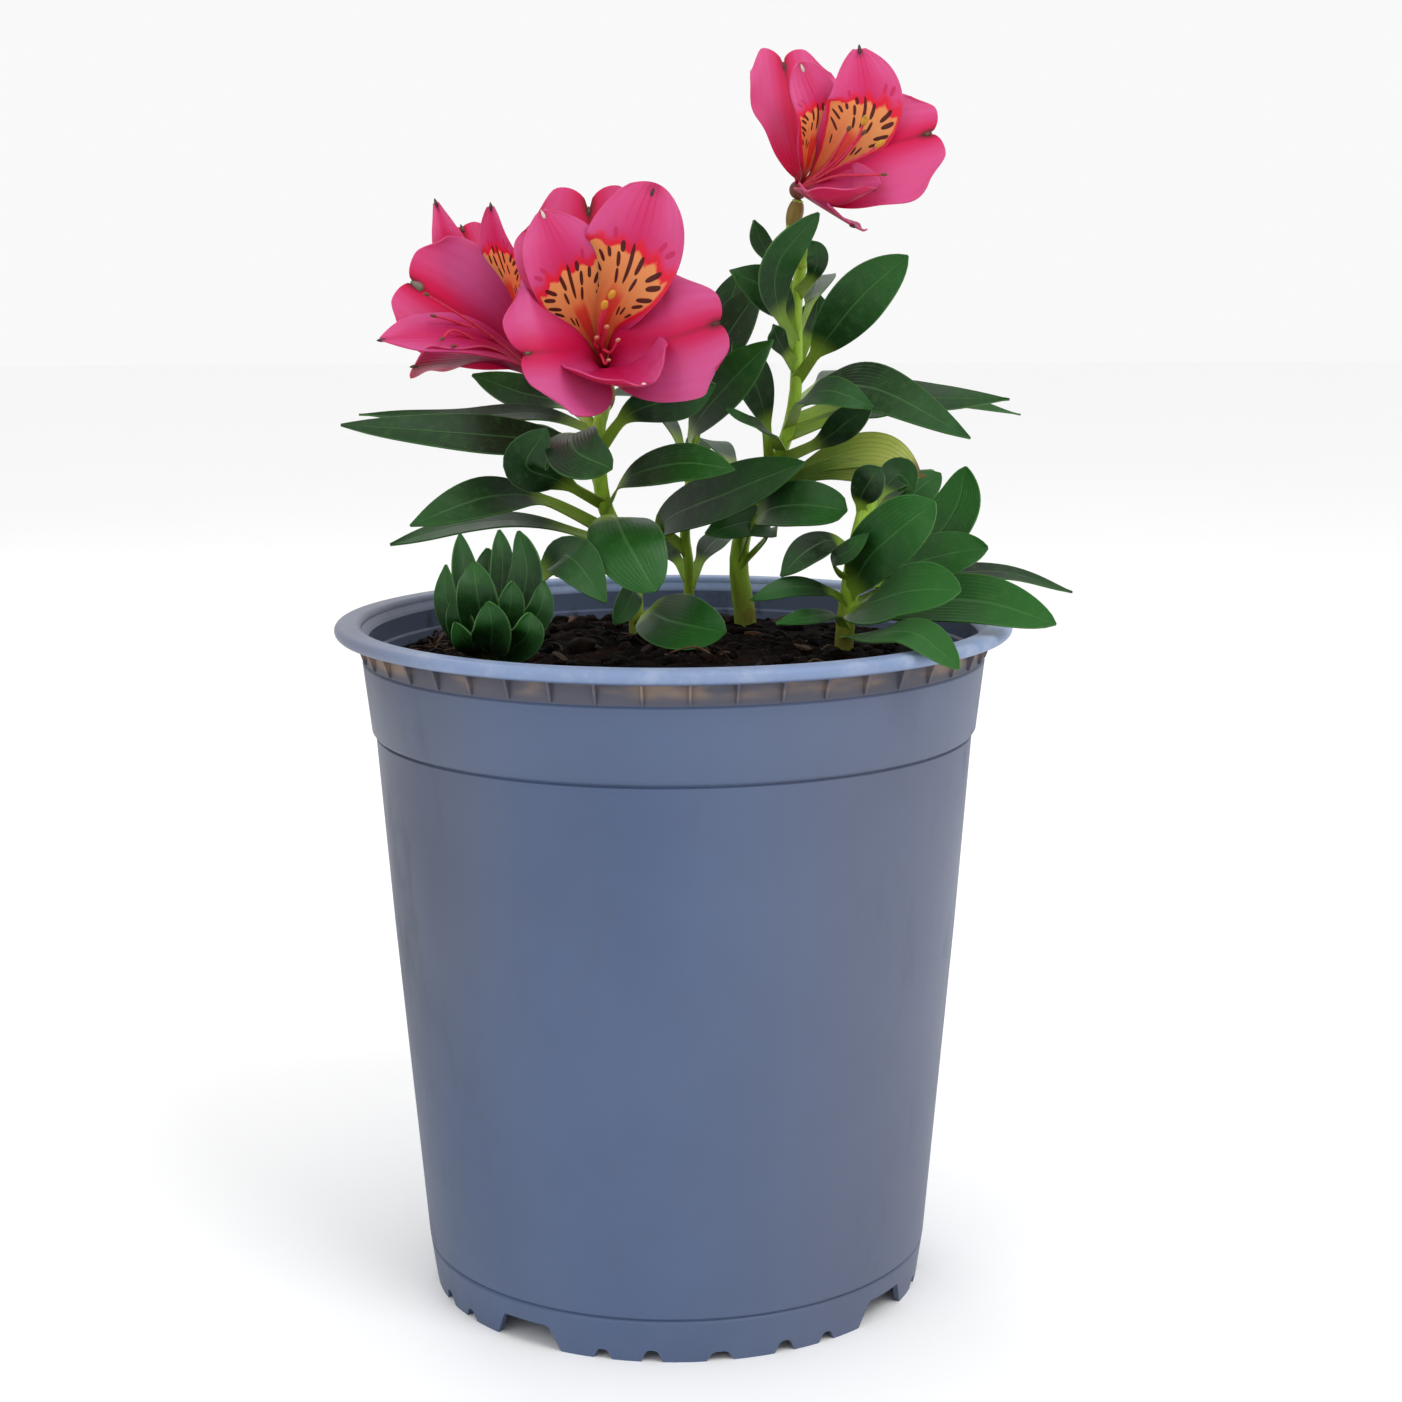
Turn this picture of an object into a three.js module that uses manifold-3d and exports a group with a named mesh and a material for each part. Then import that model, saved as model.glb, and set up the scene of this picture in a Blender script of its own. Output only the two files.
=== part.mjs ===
// Peruvian lily in a plastic nursery container.
// Millimetres, Z up. The origin is on the floor under the middle of the pot and the front faces -Y.
import * as THREE from 'three';
import { mergeVertices } from 'three/addons/utils/BufferGeometryUtils.js';
import Module from 'manifold-3d';

const wasm = await Module();
wasm.setup();

// Driving sizes of the pot
const potHeight = 191.9;
const rimRadius = 95;
const rimWidth = 7.5;
const collarTop = 181.4;
const collarFoot = 160.7;
const collarRadius = 87.5;
const bodyTopRadius = 84.1;
const bodyFootRadius = 72.2;
const skirtTop = 12.4;
const footRadius = 70.3;
const wall = 1.6;
const floorHeight = 8;
const lipRound = 1.8;
const ribCount = 46;
const drainCount = 6;

// Driving sizes of the planting
const clearance = 0.3;
const soilLevel = 179.5;
const soilRings = 5;
const soilSectors = 36;
const chipCount = 14;
const bladeThickness = 0.8;
const stalkWidth = 3.2;
const smallLeaf = 12.5;
const flowerStalk = 1.6;
const ovaryRadius = 2.4;
const hubRadius = 2.6;
const filamentRadius = 0.45;
const antherLength = 5;

const potInner = collarRadius - wall - 0.3;
const collarInner = potInner - 0.8;
const soilRadius = collarInner - clearance - 0.2;

const vec = (point) => new THREE.Vector3(...point);
const radians = THREE.MathUtils.degToRad;

// Materials, one function each
function plastic() {
  return new THREE.MeshStandardMaterial({ color: 0x6f7d92, roughness: 0.5, metalness: 0 });
}

function earth() {
  return new THREE.MeshStandardMaterial({ color: 0x231a15, roughness: 0.95, metalness: 0 });
}

function greenLeaf() {
  return new THREE.MeshStandardMaterial({ color: 0x2c6a31, roughness: 0.45, metalness: 0 });
}

function fadedLeaf() {
  return new THREE.MeshStandardMaterial({ color: 0xb4b84e, roughness: 0.5, metalness: 0 });
}

function pinkTepal() {
  return new THREE.MeshStandardMaterial({ color: 0xdb3f79, roughness: 0.5, metalness: 0 });
}

// A repeatable random draw
function seeded(seed) {
  let state = seed;
  return () => {
    state = (state * 1664525 + 1013904223) % 4294967296;
    return state / 4294967296;
  };
}

// Solids
function solidOf(geometry) {
  const bare = geometry.clone();
  bare.deleteAttribute('normal');
  bare.deleteAttribute('uv');
  const welded = mergeVertices(bare, 1e-4);
  return new wasm.Manifold(new wasm.Mesh({
    numProp: 3,
    vertProperties: new Float32Array(welded.attributes.position.array),
    triVerts: new Uint32Array(welded.index.array),
  }));
}

function fuse(solids) {
  return solids.reduce((whole, piece) => whole.add(piece));
}

function meshOf(name, solid, material) {
  const { vertProperties, triVerts } = solid.getMesh();
  const geometry = new THREE.BufferGeometry();
  geometry.setAttribute('position', new THREE.BufferAttribute(new Float32Array(vertProperties), 3));
  geometry.setIndex(new THREE.BufferAttribute(new Uint32Array(triVerts), 1));
  geometry.computeVertexNormals();
  const mesh = new THREE.Mesh(geometry, material);
  mesh.name = name;
  return mesh;
}

function curveThrough(points) {
  return new THREE.CatmullRomCurve3(points, false, 'catmullrom', 0.5);
}

function tubeGeometry(points, radius, sides, steps) {
  const section = new THREE.Shape();
  for (let side = 0; side < sides; side += 1) {
    const angle = (side / sides) * 2 * Math.PI;
    const corner = [radius * Math.cos(angle), radius * Math.sin(angle)];
    if (side === 0) section.moveTo(...corner);
    else section.lineTo(...corner);
  }
  section.closePath();
  const options = { steps, bevelEnabled: false, extrudePath: curveThrough(points) };
  return new THREE.ExtrudeGeometry(section, options);
}

function tube(points, radius, sides = 6, steps = 8) {
  return solidOf(tubeGeometry(points, radius, sides, steps));
}

// A closed skin over rows of points: `upper` and `lower` are grids of the same shape.
function slab(upper, lower) {
  const rows = upper.length;
  const columns = upper[0].length;
  const positions = [...upper.flat(), ...lower.flat()].flatMap((point) => point.toArray());
  const top = (row, column) => row * columns + column;
  const under = (row, column) => rows * columns + top(row, column);
  const faces = [];
  const quad = (a, b, c, d) => faces.push(a, b, c, a, c, d);
  for (let row = 0; row < rows - 1; row += 1) {
    for (let column = 0; column < columns - 1; column += 1) {
      quad(top(row, column), top(row, column + 1), top(row + 1, column + 1), top(row + 1, column));
      faces.push(under(row, column), under(row + 1, column + 1), under(row, column + 1));
      faces.push(under(row, column), under(row + 1, column), under(row + 1, column + 1));
    }
    quad(top(row, 0), top(row + 1, 0), under(row + 1, 0), under(row, 0));
    const last = columns - 1;
    quad(top(row + 1, last), top(row, last), under(row, last), under(row + 1, last));
  }
  for (let column = 0; column < columns - 1; column += 1) {
    quad(top(0, column + 1), top(0, column), under(0, column), under(0, column + 1));
    const end = rows - 1;
    quad(top(end, column), top(end, column + 1), under(end, column + 1), under(end, column));
  }
  const geometry = new THREE.BufferGeometry();
  geometry.setAttribute('position', new THREE.Float32BufferAttribute(positions, 3));
  geometry.setIndex(faces);
  return solidOf(geometry);
}

// A leaf or tepal along a curved midrib. `face` is the way its upper side looks at the root and
// `faceTip` at the tip. `stalk` is the share of the length that is petiole or claw. `base` and
// `point` shape the outline and `blunt` cuts it off before its point. `fold` and `cup` raise the
// edges, `roll` turns them back and `wave` ruffles them. `crown` rounds a blunt end, `lobes` parts it
// round a notch and `back` draws its corners in. `skew` widens one half.
function blade({
  path, face, faceTip = face, width, stalk = 0, base = 0.9, point = 1.1, blunt = 0, fold = 0.1, cup = 0.04,
  roll = 0, wave = 0, waves = 2, crown = 0, lobes = 0, back = 0, skew = 0, steps = 5, cells = 2,
  stalkHalf = stalkWidth / 2,
}) {
  const midrib = curveThrough(path);
  const length = midrib.getLength();
  const widest = base / (base + point);
  const peak = widest ** base * (1 - widest) ** point;
  const upper = [];
  const lower = [];
  for (let step = 0; step <= steps; step += 1) {
    const along = step / steps;
    const centre = midrib.getPoint(along);
    const ahead = midrib.getTangent(along);
    const look = vec(face).lerp(vec(faceTip), along);
    const side = new THREE.Vector3().crossVectors(ahead, look).normalize();
    const up = new THREE.Vector3().crossVectors(side, ahead).normalize();
    const share = Math.min(Math.max((along - stalk) / (1 - stalk), 0), 1);
    const grown = share * (1 - blunt);
    const outline = (grown ** base * (1 - grown) ** point) / peak;
    const least = stalkHalf * (1 - along) + 0.5 * along;
    const middleHalf = Math.cbrt(((width / 2) * outline) ** 3 + least ** 3);
    const upperRow = [];
    const lowerRow = [];
    for (let cell = 0; cell <= cells; cell += 1) {
      const across = (2 * cell) / cells - 1;
      const edge = Math.abs(across);
      const half = middleHalf * (1 + skew * across);
      const ruffle = wave * Math.sin(2 * Math.PI * waves * along + Math.sign(across)) * edge * share;
      const lift = half * (fold * edge + cup * edge ** 2 - roll * edge ** 5) + ruffle;
      const rounding = crown * (1 - edge ** 2) + lobes * Math.sqrt(1 - (2 * edge - 1) ** 2);
      const reach = (rounding - back * edge ** 3) * length * share ** 5;
      const middle = centre.clone().addScaledVector(side, half * across);
      middle.addScaledVector(up, lift).addScaledVector(ahead, reach);
      upperRow.push(middle.clone().addScaledVector(up, bladeThickness / 2));
      lowerRow.push(middle.clone().addScaledVector(up, -bladeThickness / 2));
    }
    upper.push(upperRow);
    lower.push(lowerRow);
  }
  return slab(upper, lower);
}

// Pot
function arc(centreR, centreZ, radius, from, to, steps) {
  return Array.from({ length: steps + 1 }, (unused, step) => {
    const angle = radians(from + ((to - from) * step) / steps);
    return [centreR + radius * Math.cos(angle), centreZ + radius * Math.sin(angle)];
  });
}

function potShell() {
  const lipTopZ = potHeight - lipRound;
  const bandRadius = collarRadius - 0.6;
  const ledge = collarTop + 0.8;
  const profile = [
    [0, 0], [9, 0], [10.5, floorHeight], [footRadius - wall + 0.9, floorHeight], [footRadius - wall, 0],
    [footRadius, 0], [bodyFootRadius - 0.2, skirtTop - 0.5], [bodyFootRadius - 0.6, skirtTop],
    [bodyFootRadius, skirtTop + 0.5], [bodyTopRadius, collarFoot - 0.5], [bodyTopRadius - 0.3, collarFoot],
    [bodyTopRadius + 0.9, collarFoot + 1], [collarRadius, collarTop], [bandRadius, collarTop + 0.2],
    [bandRadius + 0.3, potHeight - 4.9], [rimRadius - 4.5, potHeight - 4.4],
    ...arc(rimRadius - lipRound, lipTopZ, lipRound, -75, 90, 4),
    ...arc(rimRadius - rimWidth + lipRound, lipTopZ, lipRound, 90, 180, 2),
    [potInner, potHeight - 4], [potInner - 0.1, ledge + 0.4], [collarInner, ledge - 0.2],
    [bodyTopRadius - wall + 0.8, collarFoot + 0.5],
    [bodyTopRadius - wall, collarFoot - 1.5], [bodyFootRadius - wall, floorHeight + wall + 1.5],
    [bodyFootRadius - wall - 1.5, floorHeight + wall], [0, floorHeight + wall],
  ];
  const points = profile.map(([r, z]) => new THREE.Vector2(r, z));
  const turned = new THREE.LatheGeometry(points, 36);
  turned.rotateX(Math.PI / 2);
  return solidOf(turned);
}

// Angles round the pot are measured from the front (-Y) towards +X.
function aroundPot(degrees) {
  return new THREE.Matrix4().makeRotationZ(radians(degrees));
}

function rib(degrees) {
  const profile = new THREE.Shape();
  profile.moveTo(collarRadius - 1.3, collarTop + 0.6);
  profile.lineTo(collarRadius + 0.1, collarTop + 0.6);
  profile.lineTo(rimRadius - 5.2, potHeight - 3.9);
  profile.lineTo(collarRadius - 1.3, potHeight - 3.9);
  profile.closePath();
  const thickness = 0.8;
  const geometry = new THREE.ExtrudeGeometry(profile, { depth: thickness, bevelEnabled: false });
  geometry.translate(0, 0, -thickness / 2);
  geometry.rotateX(Math.PI / 2);
  geometry.rotateZ(-Math.PI / 2);
  return solidOf(geometry.applyMatrix4(aroundPot(degrees)));
}

// A notch in the foot ring: a tooth-shaped cutter that points outwards.
function notch(degrees, spread, height) {
  const half = footRadius * Math.tan(radians(spread / 2));
  const shape = new THREE.Shape();
  shape.moveTo(-half, -1);
  shape.lineTo(half, -1);
  shape.lineTo(half * 0.72, height);
  shape.lineTo(-half * 0.72, height);
  shape.closePath();
  const geometry = new THREE.ExtrudeGeometry(shape, { depth: 12, bevelEnabled: false });
  geometry.rotateX(Math.PI / 2);
  geometry.translate(0, -footRadius + 6, 0);
  return solidOf(geometry.applyMatrix4(aroundPot(degrees)));
}

function drain(degrees) {
  const hole = new THREE.CylinderGeometry(4.5, 4.5, 3 * wall, 10);
  hole.rotateX(Math.PI / 2);
  hole.translate(0, -55, floorHeight + wall / 2);
  return solidOf(hole.applyMatrix4(aroundPot(degrees)));
}

function pot() {
  const ribs = Array.from({ length: ribCount }, (unused, index) => rib(3.2 + (index * 360) / ribCount));
  const notches = [];
  for (let quarter = 0; quarter < 4; quarter += 1) {
    const middle = 10 + quarter * 90;
    notches.push(notch(middle + 45, 18, 7));
    notches.push(notch(middle, 7, 2.6));
    for (const side of [-1, 1]) {
      notches.push(notch(middle + side * 15, 4.4, 3.4));
      notches.push(notch(middle + side * 26, 4, 2.7));
    }
  }
  const drains = Array.from({ length: drainCount }, (unused, index) => drain((index * 360) / drainCount));
  const shell = fuse([potShell(), ...ribs]);
  return shell.subtract(fuse(notches)).subtract(fuse(drains));
}

// Soil
function soilHeight(x, y) {
  const share = Math.min(Math.hypot(x, y) / soilRadius, 1);
  const mound = 3.4 * (1 - share ** 3) * (1 - y / 260 - x / 400);
  const lumps = 0.9 * Math.sin(x * 0.19 + 1.3) * Math.cos(y * 0.23) + 0.6 * Math.sin(x * 0.47 - y * 0.41);
  return soilLevel + mound + lumps * (1 - share ** 8);
}

function ringOf(radius, height) {
  return Array.from({ length: soilSectors }, (unused, sector) => {
    const angle = (sector / soilSectors) * 2 * Math.PI;
    const [x, y] = [radius * Math.cos(angle), radius * Math.sin(angle)];
    return [x, y, height(x, y)];
  });
}

function soilBody() {
  const positions = [[0, 0, soilHeight(0, 0)]];
  for (let ring = 1; ring <= soilRings; ring += 1) {
    positions.push(...ringOf((soilRadius * ring) / soilRings, soilHeight));
  }
  const edge = (ring, sector) => 1 + (ring - 1) * soilSectors + (sector % soilSectors);
  const faces = [];
  for (let sector = 0; sector < soilSectors; sector += 1) {
    faces.push(0, edge(1, sector), edge(1, sector + 1));
    for (let ring = 1; ring < soilRings; ring += 1) {
      faces.push(edge(ring, sector), edge(ring + 1, sector), edge(ring + 1, sector + 1));
      faces.push(edge(ring, sector), edge(ring + 1, sector + 1), edge(ring, sector + 1));
    }
  }
  // The side follows the inside of the pot down to its floor.
  const sideRings = [
    [bodyTopRadius - wall - clearance - 0.2, collarFoot - 1.5],
    [bodyFootRadius - wall - clearance - 2, floorHeight + wall + clearance + 1],
  ];
  let previous = (sector) => edge(soilRings, sector);
  for (const [radius, z] of sideRings) {
    const start = positions.length;
    positions.push(...ringOf(radius, () => z));
    const current = (sector) => start + (sector % soilSectors);
    for (let sector = 0; sector < soilSectors; sector += 1) {
      faces.push(previous(sector), current(sector), current(sector + 1));
      faces.push(previous(sector), current(sector + 1), previous(sector + 1));
    }
    previous = current;
  }
  const centre = positions.length;
  positions.push([0, 0, floorHeight + wall + clearance + 1]);
  for (let sector = 0; sector < soilSectors; sector += 1) {
    faces.push(centre, previous(sector + 1), previous(sector));
  }
  const geometry = new THREE.BufferGeometry();
  geometry.setAttribute('position', new THREE.Float32BufferAttribute(positions.flat(), 3));
  geometry.setIndex(faces);
  return solidOf(geometry);
}

// Bark and fibre lie half sunk in the soil.
function barkChips() {
  const draw = seeded(41);
  const chips = [];
  while (chips.length < chipCount) {
    const angle = draw() * 2 * Math.PI;
    const radius = 14 + 62 * Math.sqrt(draw());
    const [x, y] = [radius * Math.cos(angle), radius * Math.sin(angle)];
    const size = [4 + 7 * draw(), 2 + 2.5 * draw(), 2.4];
    const turn = new THREE.Euler((draw() - 0.5) * 0.7, (draw() - 0.5) * 0.7, draw() * Math.PI);
    const clear = Object.values(shoots).every(({ stem }) => Math.hypot(x - stem[0][0], y - stem[0][1]) > 12);
    if (clear) {
      const chip = new THREE.BoxGeometry(...size);
      chip.applyMatrix4(new THREE.Matrix4().makeRotationFromEuler(turn));
      chips.push(solidOf(chip.translate(x, y, soilHeight(x, y) + 0.2)));
    }
  }
  return chips;
}

// The leafy shoots. A stem is a list of points up its middle. A leaf leaves the stem at the height
// `at`, passes through `through` and ends at its tip, the last point. `face` is where it looks.
const leaf = (at, through, face, width, shape = {}) => ({ at, through, face, width, ...shape });
const long = { base: 1.1, point: 1.1, stalk: 0.06, steps: 6 };
const stalked = { base: 1.1, point: 0.95, stalk: 0.22 };
const broad = { base: 0.9, point: 0.75, stalk: 0.2 };
const bud = { base: 0.9, point: 0.8, cup: 0.22, stalkHalf: 1.4, steps: 3 };
const fresh = { base: 0.8, point: 0.7, stalk: 0.05 };

const shoots = {
  shoot_a: {
    stem: [[-11, 28, 168], [-11, 28, 182], [-13, 22, 205], [-20, 14, 223], [-21, 8, 242], [-20, 11, 249]],
    radii: [2.5, 2.4, 2.3, 2.1, 1.9],
    stalks: [
      [[-20, 11, 247], [-19, 18.5, 251], [-19, 17, 257]],
      [[-21, 8, 242], [-26, 15, 249], [-31, 18.5, 252], [-35.6, 19.8, 254.9]],
    ],
    leaves: [
      leaf(238, [[-36, 0, 241.5], [-56, -8, 244], [-90.5, -14, 247]], [0, -0.8, 0.5], 12,
        { ...long, point: 0.85 }),
      leaf(243, [[-38, 14, 248], [-60, 10, 247.5], [-88, 5, 248.5]], [0, -0.45, 0.9], 9, long),
      leaf(222, [[-31.5, -6, 231], [-40, -14, 236], [-34, -18, 246]], [-0.2, -0.95, -0.1], 13, broad),
      leaf(241, [[-27, -10, 244], [-25.5, -24, 240], [-16, -30, 236]], [-0.25, -0.75, 0.5], 16,
        { base: 0.6, point: 0.6, stalk: 0.2 }),
      leaf(212, [[-36.5, 4, 224.5], [-51, -8, 226.5], [-71.5, -20, 220]], [0, -0.75, 0.65], 14,
        { ...stalked, stalk: 0.3, stalkHalf: 2.6 }),
      leaf(209, [[-39, 22, 216], [-59, 20, 216], [-81, 12, 211]], [0, -0.35, 0.95], 11,
        { ...stalked, stalk: 0.15, stalkHalf: 2.4 }),
      leaf(213, [[-16, -6, 220.5], [-12, -21, 214.5], [-4.5, -27, 202.5]], [0.1, -0.95, 0.3], 20.5,
        { base: 0.55, point: 0.6, stalk: 0.28, cup: -0.15 }),
      leaf(193, [[-11, 4, 199], [-13, -4, 196], [-16.5, -9, 191]], [0.4, -0.85, 0.3], 7.5, broad),
      leaf(187, [[-7, 6, 192], [1, -9, 191.5], [14.5, -18.5, 190]], [0, -0.9, 0.4], 17.5,
        { base: 0.6, point: 0.6, stalk: 0.26 }),
      leaf(220, [[-13, -4, 231], [2, -14, 236], [17, -21, 235]], [0, -0.8, 0.6], 13, stalked),
      leaf(244, [[-32, 30, 250], [-45, 36, 253], [-59, 38, 258]], [0.2, -0.8, 0.5], 12, stalked),
      leaf(238, [[-12, -2, 249], [2, -6, 254], [12, -4, 257]], [0, -0.9, -0.3], 13, stalked),
      leaf(226, [[-26, 34, 236], [-36, 50, 240], [-50, 62, 236]], [0, 0.5, 0.9], 13, stalked),
    ],
  },
  shoot_b: {
    stem: [[3, 50, 168], [4, 50, 189], [4, 46, 201], [3, 42, 212], [5, 38, 230], [6, 35, 243]],
    radii: [1.7, 1.6, 1.5, 1.4],
    stalks: [],
    leaves: [
      leaf(205, [[-3, 34, 215], [16, 16, 225.5], [37, 2, 235]], [-0.2, -0.85, 0.5], 16.5,
        { base: 1, point: 0.8, stalk: 0.18 }),
      leaf(238, [[9, 40, 257], [17, 39, 271], [26, 34, 284]], [-0.5, -0.8, 0.1], 14, stalked),
      leaf(234, [[6, 20, 244], [16, 8, 257], [28, 2, 269]], [-0.4, -0.85, 0.3], 14, stalked),
      leaf(240, [[8, 50, 262], [16, 56, 277], [20, 58, 288]], [-0.2, -0.95, 0], 11, stalked),
      leaf(196, [[0, 54, 202], [-8, 62, 207], [-16, 68, 212]], [0, -0.6, 0.8], 8, stalked),
      leaf(194, [[8, 56, 202], [12, 64, 206], [18, 72, 208]], [0, -0.6, 0.8], 8, stalked),
      leaf(226, [[0, 52, 240], [-10, 66, 250], [-20, 74, 250]], [0, 0.4, 0.9], 12, stalked),
    ],
  },
  shoot_c: {
    stem: [
      [21, 48, 168], [21, 48, 184], [19, 42, 203], [23, 34, 221], [31, 28, 236], [35, 22, 254],
      [35, 16, 280], [37, 10, 294],
    ],
    radii: [3.7, 3.5, 2.9, 2.3, 2, 1.8, 1.7, 1.6],
    stalks: [[[36.5, 12, 289], [34, 10, 293], [32.8, 9, 298], [35, 8.5, 307.2]]],
    leaves: [
      leaf(200, [[28, 27, 213], [21, 23, 216], [9, 19, 213]], [0, -0.7, 0.7], 12,
        { ...stalked, wave: 0.8 }),
      leaf(203, [[24.5, 14, 219], [35, 2, 223], [48.5, -4, 222]], [-0.1, -0.85, 0.5], 14.5,
        { base: 0.5, point: 0.45, stalk: 0.3, cup: 0.15 }),
      leaf(257, [[42.5, 6, 268.5], [52, -5, 281], [64, -12, 292]], [0.3, -0.85, 0.4], 15, broad),
      leaf(262, [[39, 24, 270], [41, 28, 275], [42, 30, 281]], [-0.1, -1, 0], 9.5, stalked),
      leaf(260, [[30, 10, 268], [28, 4, 273]], [0.2, -0.9, 0.1], 6, stalked),
      leaf(248, [[43, 8, 255], [57, -6, 255.5], [81, -18, 243]], [0, -0.8, 0.6], 16,
        { ...long, point: 0.9 }),
      leaf(243, [[36, -6, 253], [43, -20, 256], [54, -24, 252]], [0, -0.85, 0.5], 9.5, stalked),
      leaf(245, [[57, 36, 252], [78, 42, 250.5], [99, 44, 250]], [0, -0.8, 0.6], 10, long),
      leaf(241, [[58, 50, 250], [83, 62, 249], [105, 66, 244]], [0, -0.7, 0.7], 6, long),
      leaf(240, [[48, 25, 246], [59, 22, 248], [69, 16, 249]], [0, -0.6, 0.8], 6, stalked),
      leaf(233, [[42, 14, 240], [49, 7, 246], [56, 2, 251]], [0.3, -0.85, 0.3], 9, stalked),
      leaf(236, [[28, 12, 242], [22, 5, 246], [15, 0, 250]], [0, -0.6, 0.8], 6, stalked),
      leaf(264, [[32, 12, 276], [26, 6, 283], [16, 4, 288]], [0.1, -0.9, 0.3], 12, { ...stalked, wave: 1 }),
      leaf(266, [[29, 2, 279], [29.5, -6, 291], [40, -9, 303.5]], [0.5, -0.8, -0.2], 12, broad),
      leaf(280, [[29, 20, 290], [25, 22, 296], [23, 22, 302]], [0.3, -0.9, 0], 6, stalked),
      leaf(281, [[39, 2, 287], [40, -1, 292], [38, -2, 296]], [0, -1, 0.1], 6, broad),
      leaf(230, [[26, 18, 247], [22, 14, 259], [17, 12, 268]], [0.4, -0.85, 0.2], 12, stalked),
      leaf(250, [[44, 40, 256], [52, 58, 258], [60, 72, 252]], [0, 0.4, 0.9], 12, stalked),
      leaf(222, [[16, 56, 232], [10, 72, 236], [4, 84, 230]], [0, 0.5, 0.9], 12, stalked),
      leaf(268, [[40, 30, 280], [42, 44, 286], [40, 56, 284]], [0, 0.5, 0.9], 11, stalked),
    ],
  },
  shoot_d: {
    stem: [[48, 0, 168], [48, 0, 182], [49, -4, 197], [51, -6, 211], [54, -6, 224], [56, -4, 230]],
    radii: [2.9, 2.8, 2.6, 2.3],
    stalks: [],
    leaves: [
      leaf(196, [[42, -14, 201], [32, -22, 203], [21, -26, 200]], [0, -0.8, 0.6], 6.5, stalked),
      leaf(188, [[45, -14, 194], [37, -24, 195], [28, -29, 194]], [0, -0.6, 0.8], 6, stalked),
      leaf(202, [[44, -18, 209.5], [48, -23, 213], [53, -25, 218]], [-0.4, -0.8, 0.4], 6, stalked),
      leaf(208, [[44.5, -12, 214.5], [37, -18, 212.5], [29.5, -22, 206]], [-0.3, -0.8, 0.5], 10, stalked),
      leaf(197, [[53, -20, 210], [62, -28, 220], [70.5, -32, 227]], [-0.3, -0.85, 0.25], 17.5, fresh),
      leaf(204, [[70, 6, 210], [80, 9, 221], [83, 11, 233]], [-0.4, -0.85, 0.2], 15, fresh),
      leaf(208, [[62, 14, 217], [70, 20, 225], [77, 24, 230]], [-0.4, -0.8, 0.3], 12, fresh),
      leaf(200, [[65.5, 0, 206], [77.5, -1, 209.5], [88, -3, 211.5]], [0, -0.85, 0.5], 14, fresh),
      leaf(193, [[54, -26, 199], [64, -42, 204.5], [75.5, -52, 206]], [-0.2, -0.75, 0.65], 19, fresh),
      leaf(192, [[66, -18, 198.5], [84, -31, 200], [102, -42, 195.5]], [0, -0.75, 0.65], 17, fresh),
      leaf(195, [[70, 10, 201], [94, 16, 202], [115, 18, 196]], [0, -0.5, 0.85], 8, long),
      leaf(186, [[53, -40, 192.5], [63, -63, 196], [72.5, -80, 190]], [0, -0.7, 0.75], 12.5, fresh),
      leaf(220, [[52, -10, 226], [54, -14, 231], [57, -15, 235]], [-0.3, -0.9, 0.2], 10, broad),
      leaf(222, [[60, 4, 228], [64, 8, 231], [68, 6, 227]], [-0.2, -0.9, 0.3], 10, broad),
      leaf(214, [[60, 14, 224], [68, 32, 230], [78, 44, 226]], [0.3, 0.4, 0.9], 13, stalked),
      leaf(200, [[58, 18, 208], [66, 38, 210], [72, 54, 204]], [0.2, 0.3, 0.95], 13, stalked),
    ],
  },
  shoot_e: {
    stem: [[-49, -28, 168], [-49, -28, 184], [-49, -28, 194]],
    radii: [3, 3, 2.6],
    stalks: [],
    leaves: [
      leaf(186, [[-53.5, -27, 196], [-56.5, -24, 207.5], [-58, -20, 218]], [0.3, -0.95, 0], 8, bud),
      leaf(186, [[-47, -27, 199], [-46.5, -22, 210], [-47.5, -18, 218.5]], [0.3, -0.95, 0], 7, bud),
      leaf(186, [[-42, -31, 197], [-39, -30, 209], [-41.5, -25, 219]], [-0.3, -0.95, 0], 10, bud),
      leaf(184, [[-56.5, -32, 191.5], [-60.5, -33, 201], [-61, -30, 210.5]], [-0.3, -0.9, 0], 7.5, bud),
      leaf(184, [[-50.5, -38, 195], [-51.5, -43, 204.5], [-52.5, -40, 212.5]], [-0.1, -0.95, 0.1], 11.5,
        bud),
      leaf(187, [[-50, -24, 197], [-50.5, -18, 206.5], [-51, -14, 213]], [0, -0.95, 0], 9, bud),
      leaf(184, [[-41.5, -34, 191.5], [-35.5, -37, 199], [-34.5, -34, 206.5]], [0.3, -0.9, 0.1], 8, bud),
      leaf(184, [[-48, -44, 190.5], [-47, -52, 197], [-48, -52, 203.5]], [0, -0.95, 0.2], 10.5, bud),
      leaf(184, [[-42.5, -42, 189.5], [-38, -49, 194.5], [-37.5, -48, 200]], [0.2, -0.9, 0.2], 9.5, bud),
      leaf(185, [[-45.5, -36, 193], [-43, -40, 200.5], [-42.5, -38, 207]], [0.15, -0.95, 0.1], 8, bud),
      leaf(184, [[-52.5, -38, 188.5], [-55, -44, 192], [-57.5, -45, 197]], [-0.3, -0.9, 0.2], 7, bud),
      leaf(184, [[-54, -35, 190.5], [-56.5, -39, 197], [-57, -37, 204.5]], [-0.2, -0.95, 0.1], 8, bud),
      leaf(188, [[-34, -14, 208], [-27, -24, 211], [-18, -30, 200]], [0, -0.9, 0.4], 13.5, stalked),
      leaf(185, [[-54, -16, 192], [-57, -8, 199], [-58, -2, 206]], [-0.2, 0.9, 0.3], 9, bud),
      leaf(185, [[-46, -16, 192], [-44, -8, 199], [-44, -2, 206]], [0.2, 0.9, 0.3], 9, bud),
    ],
  },
};

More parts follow.
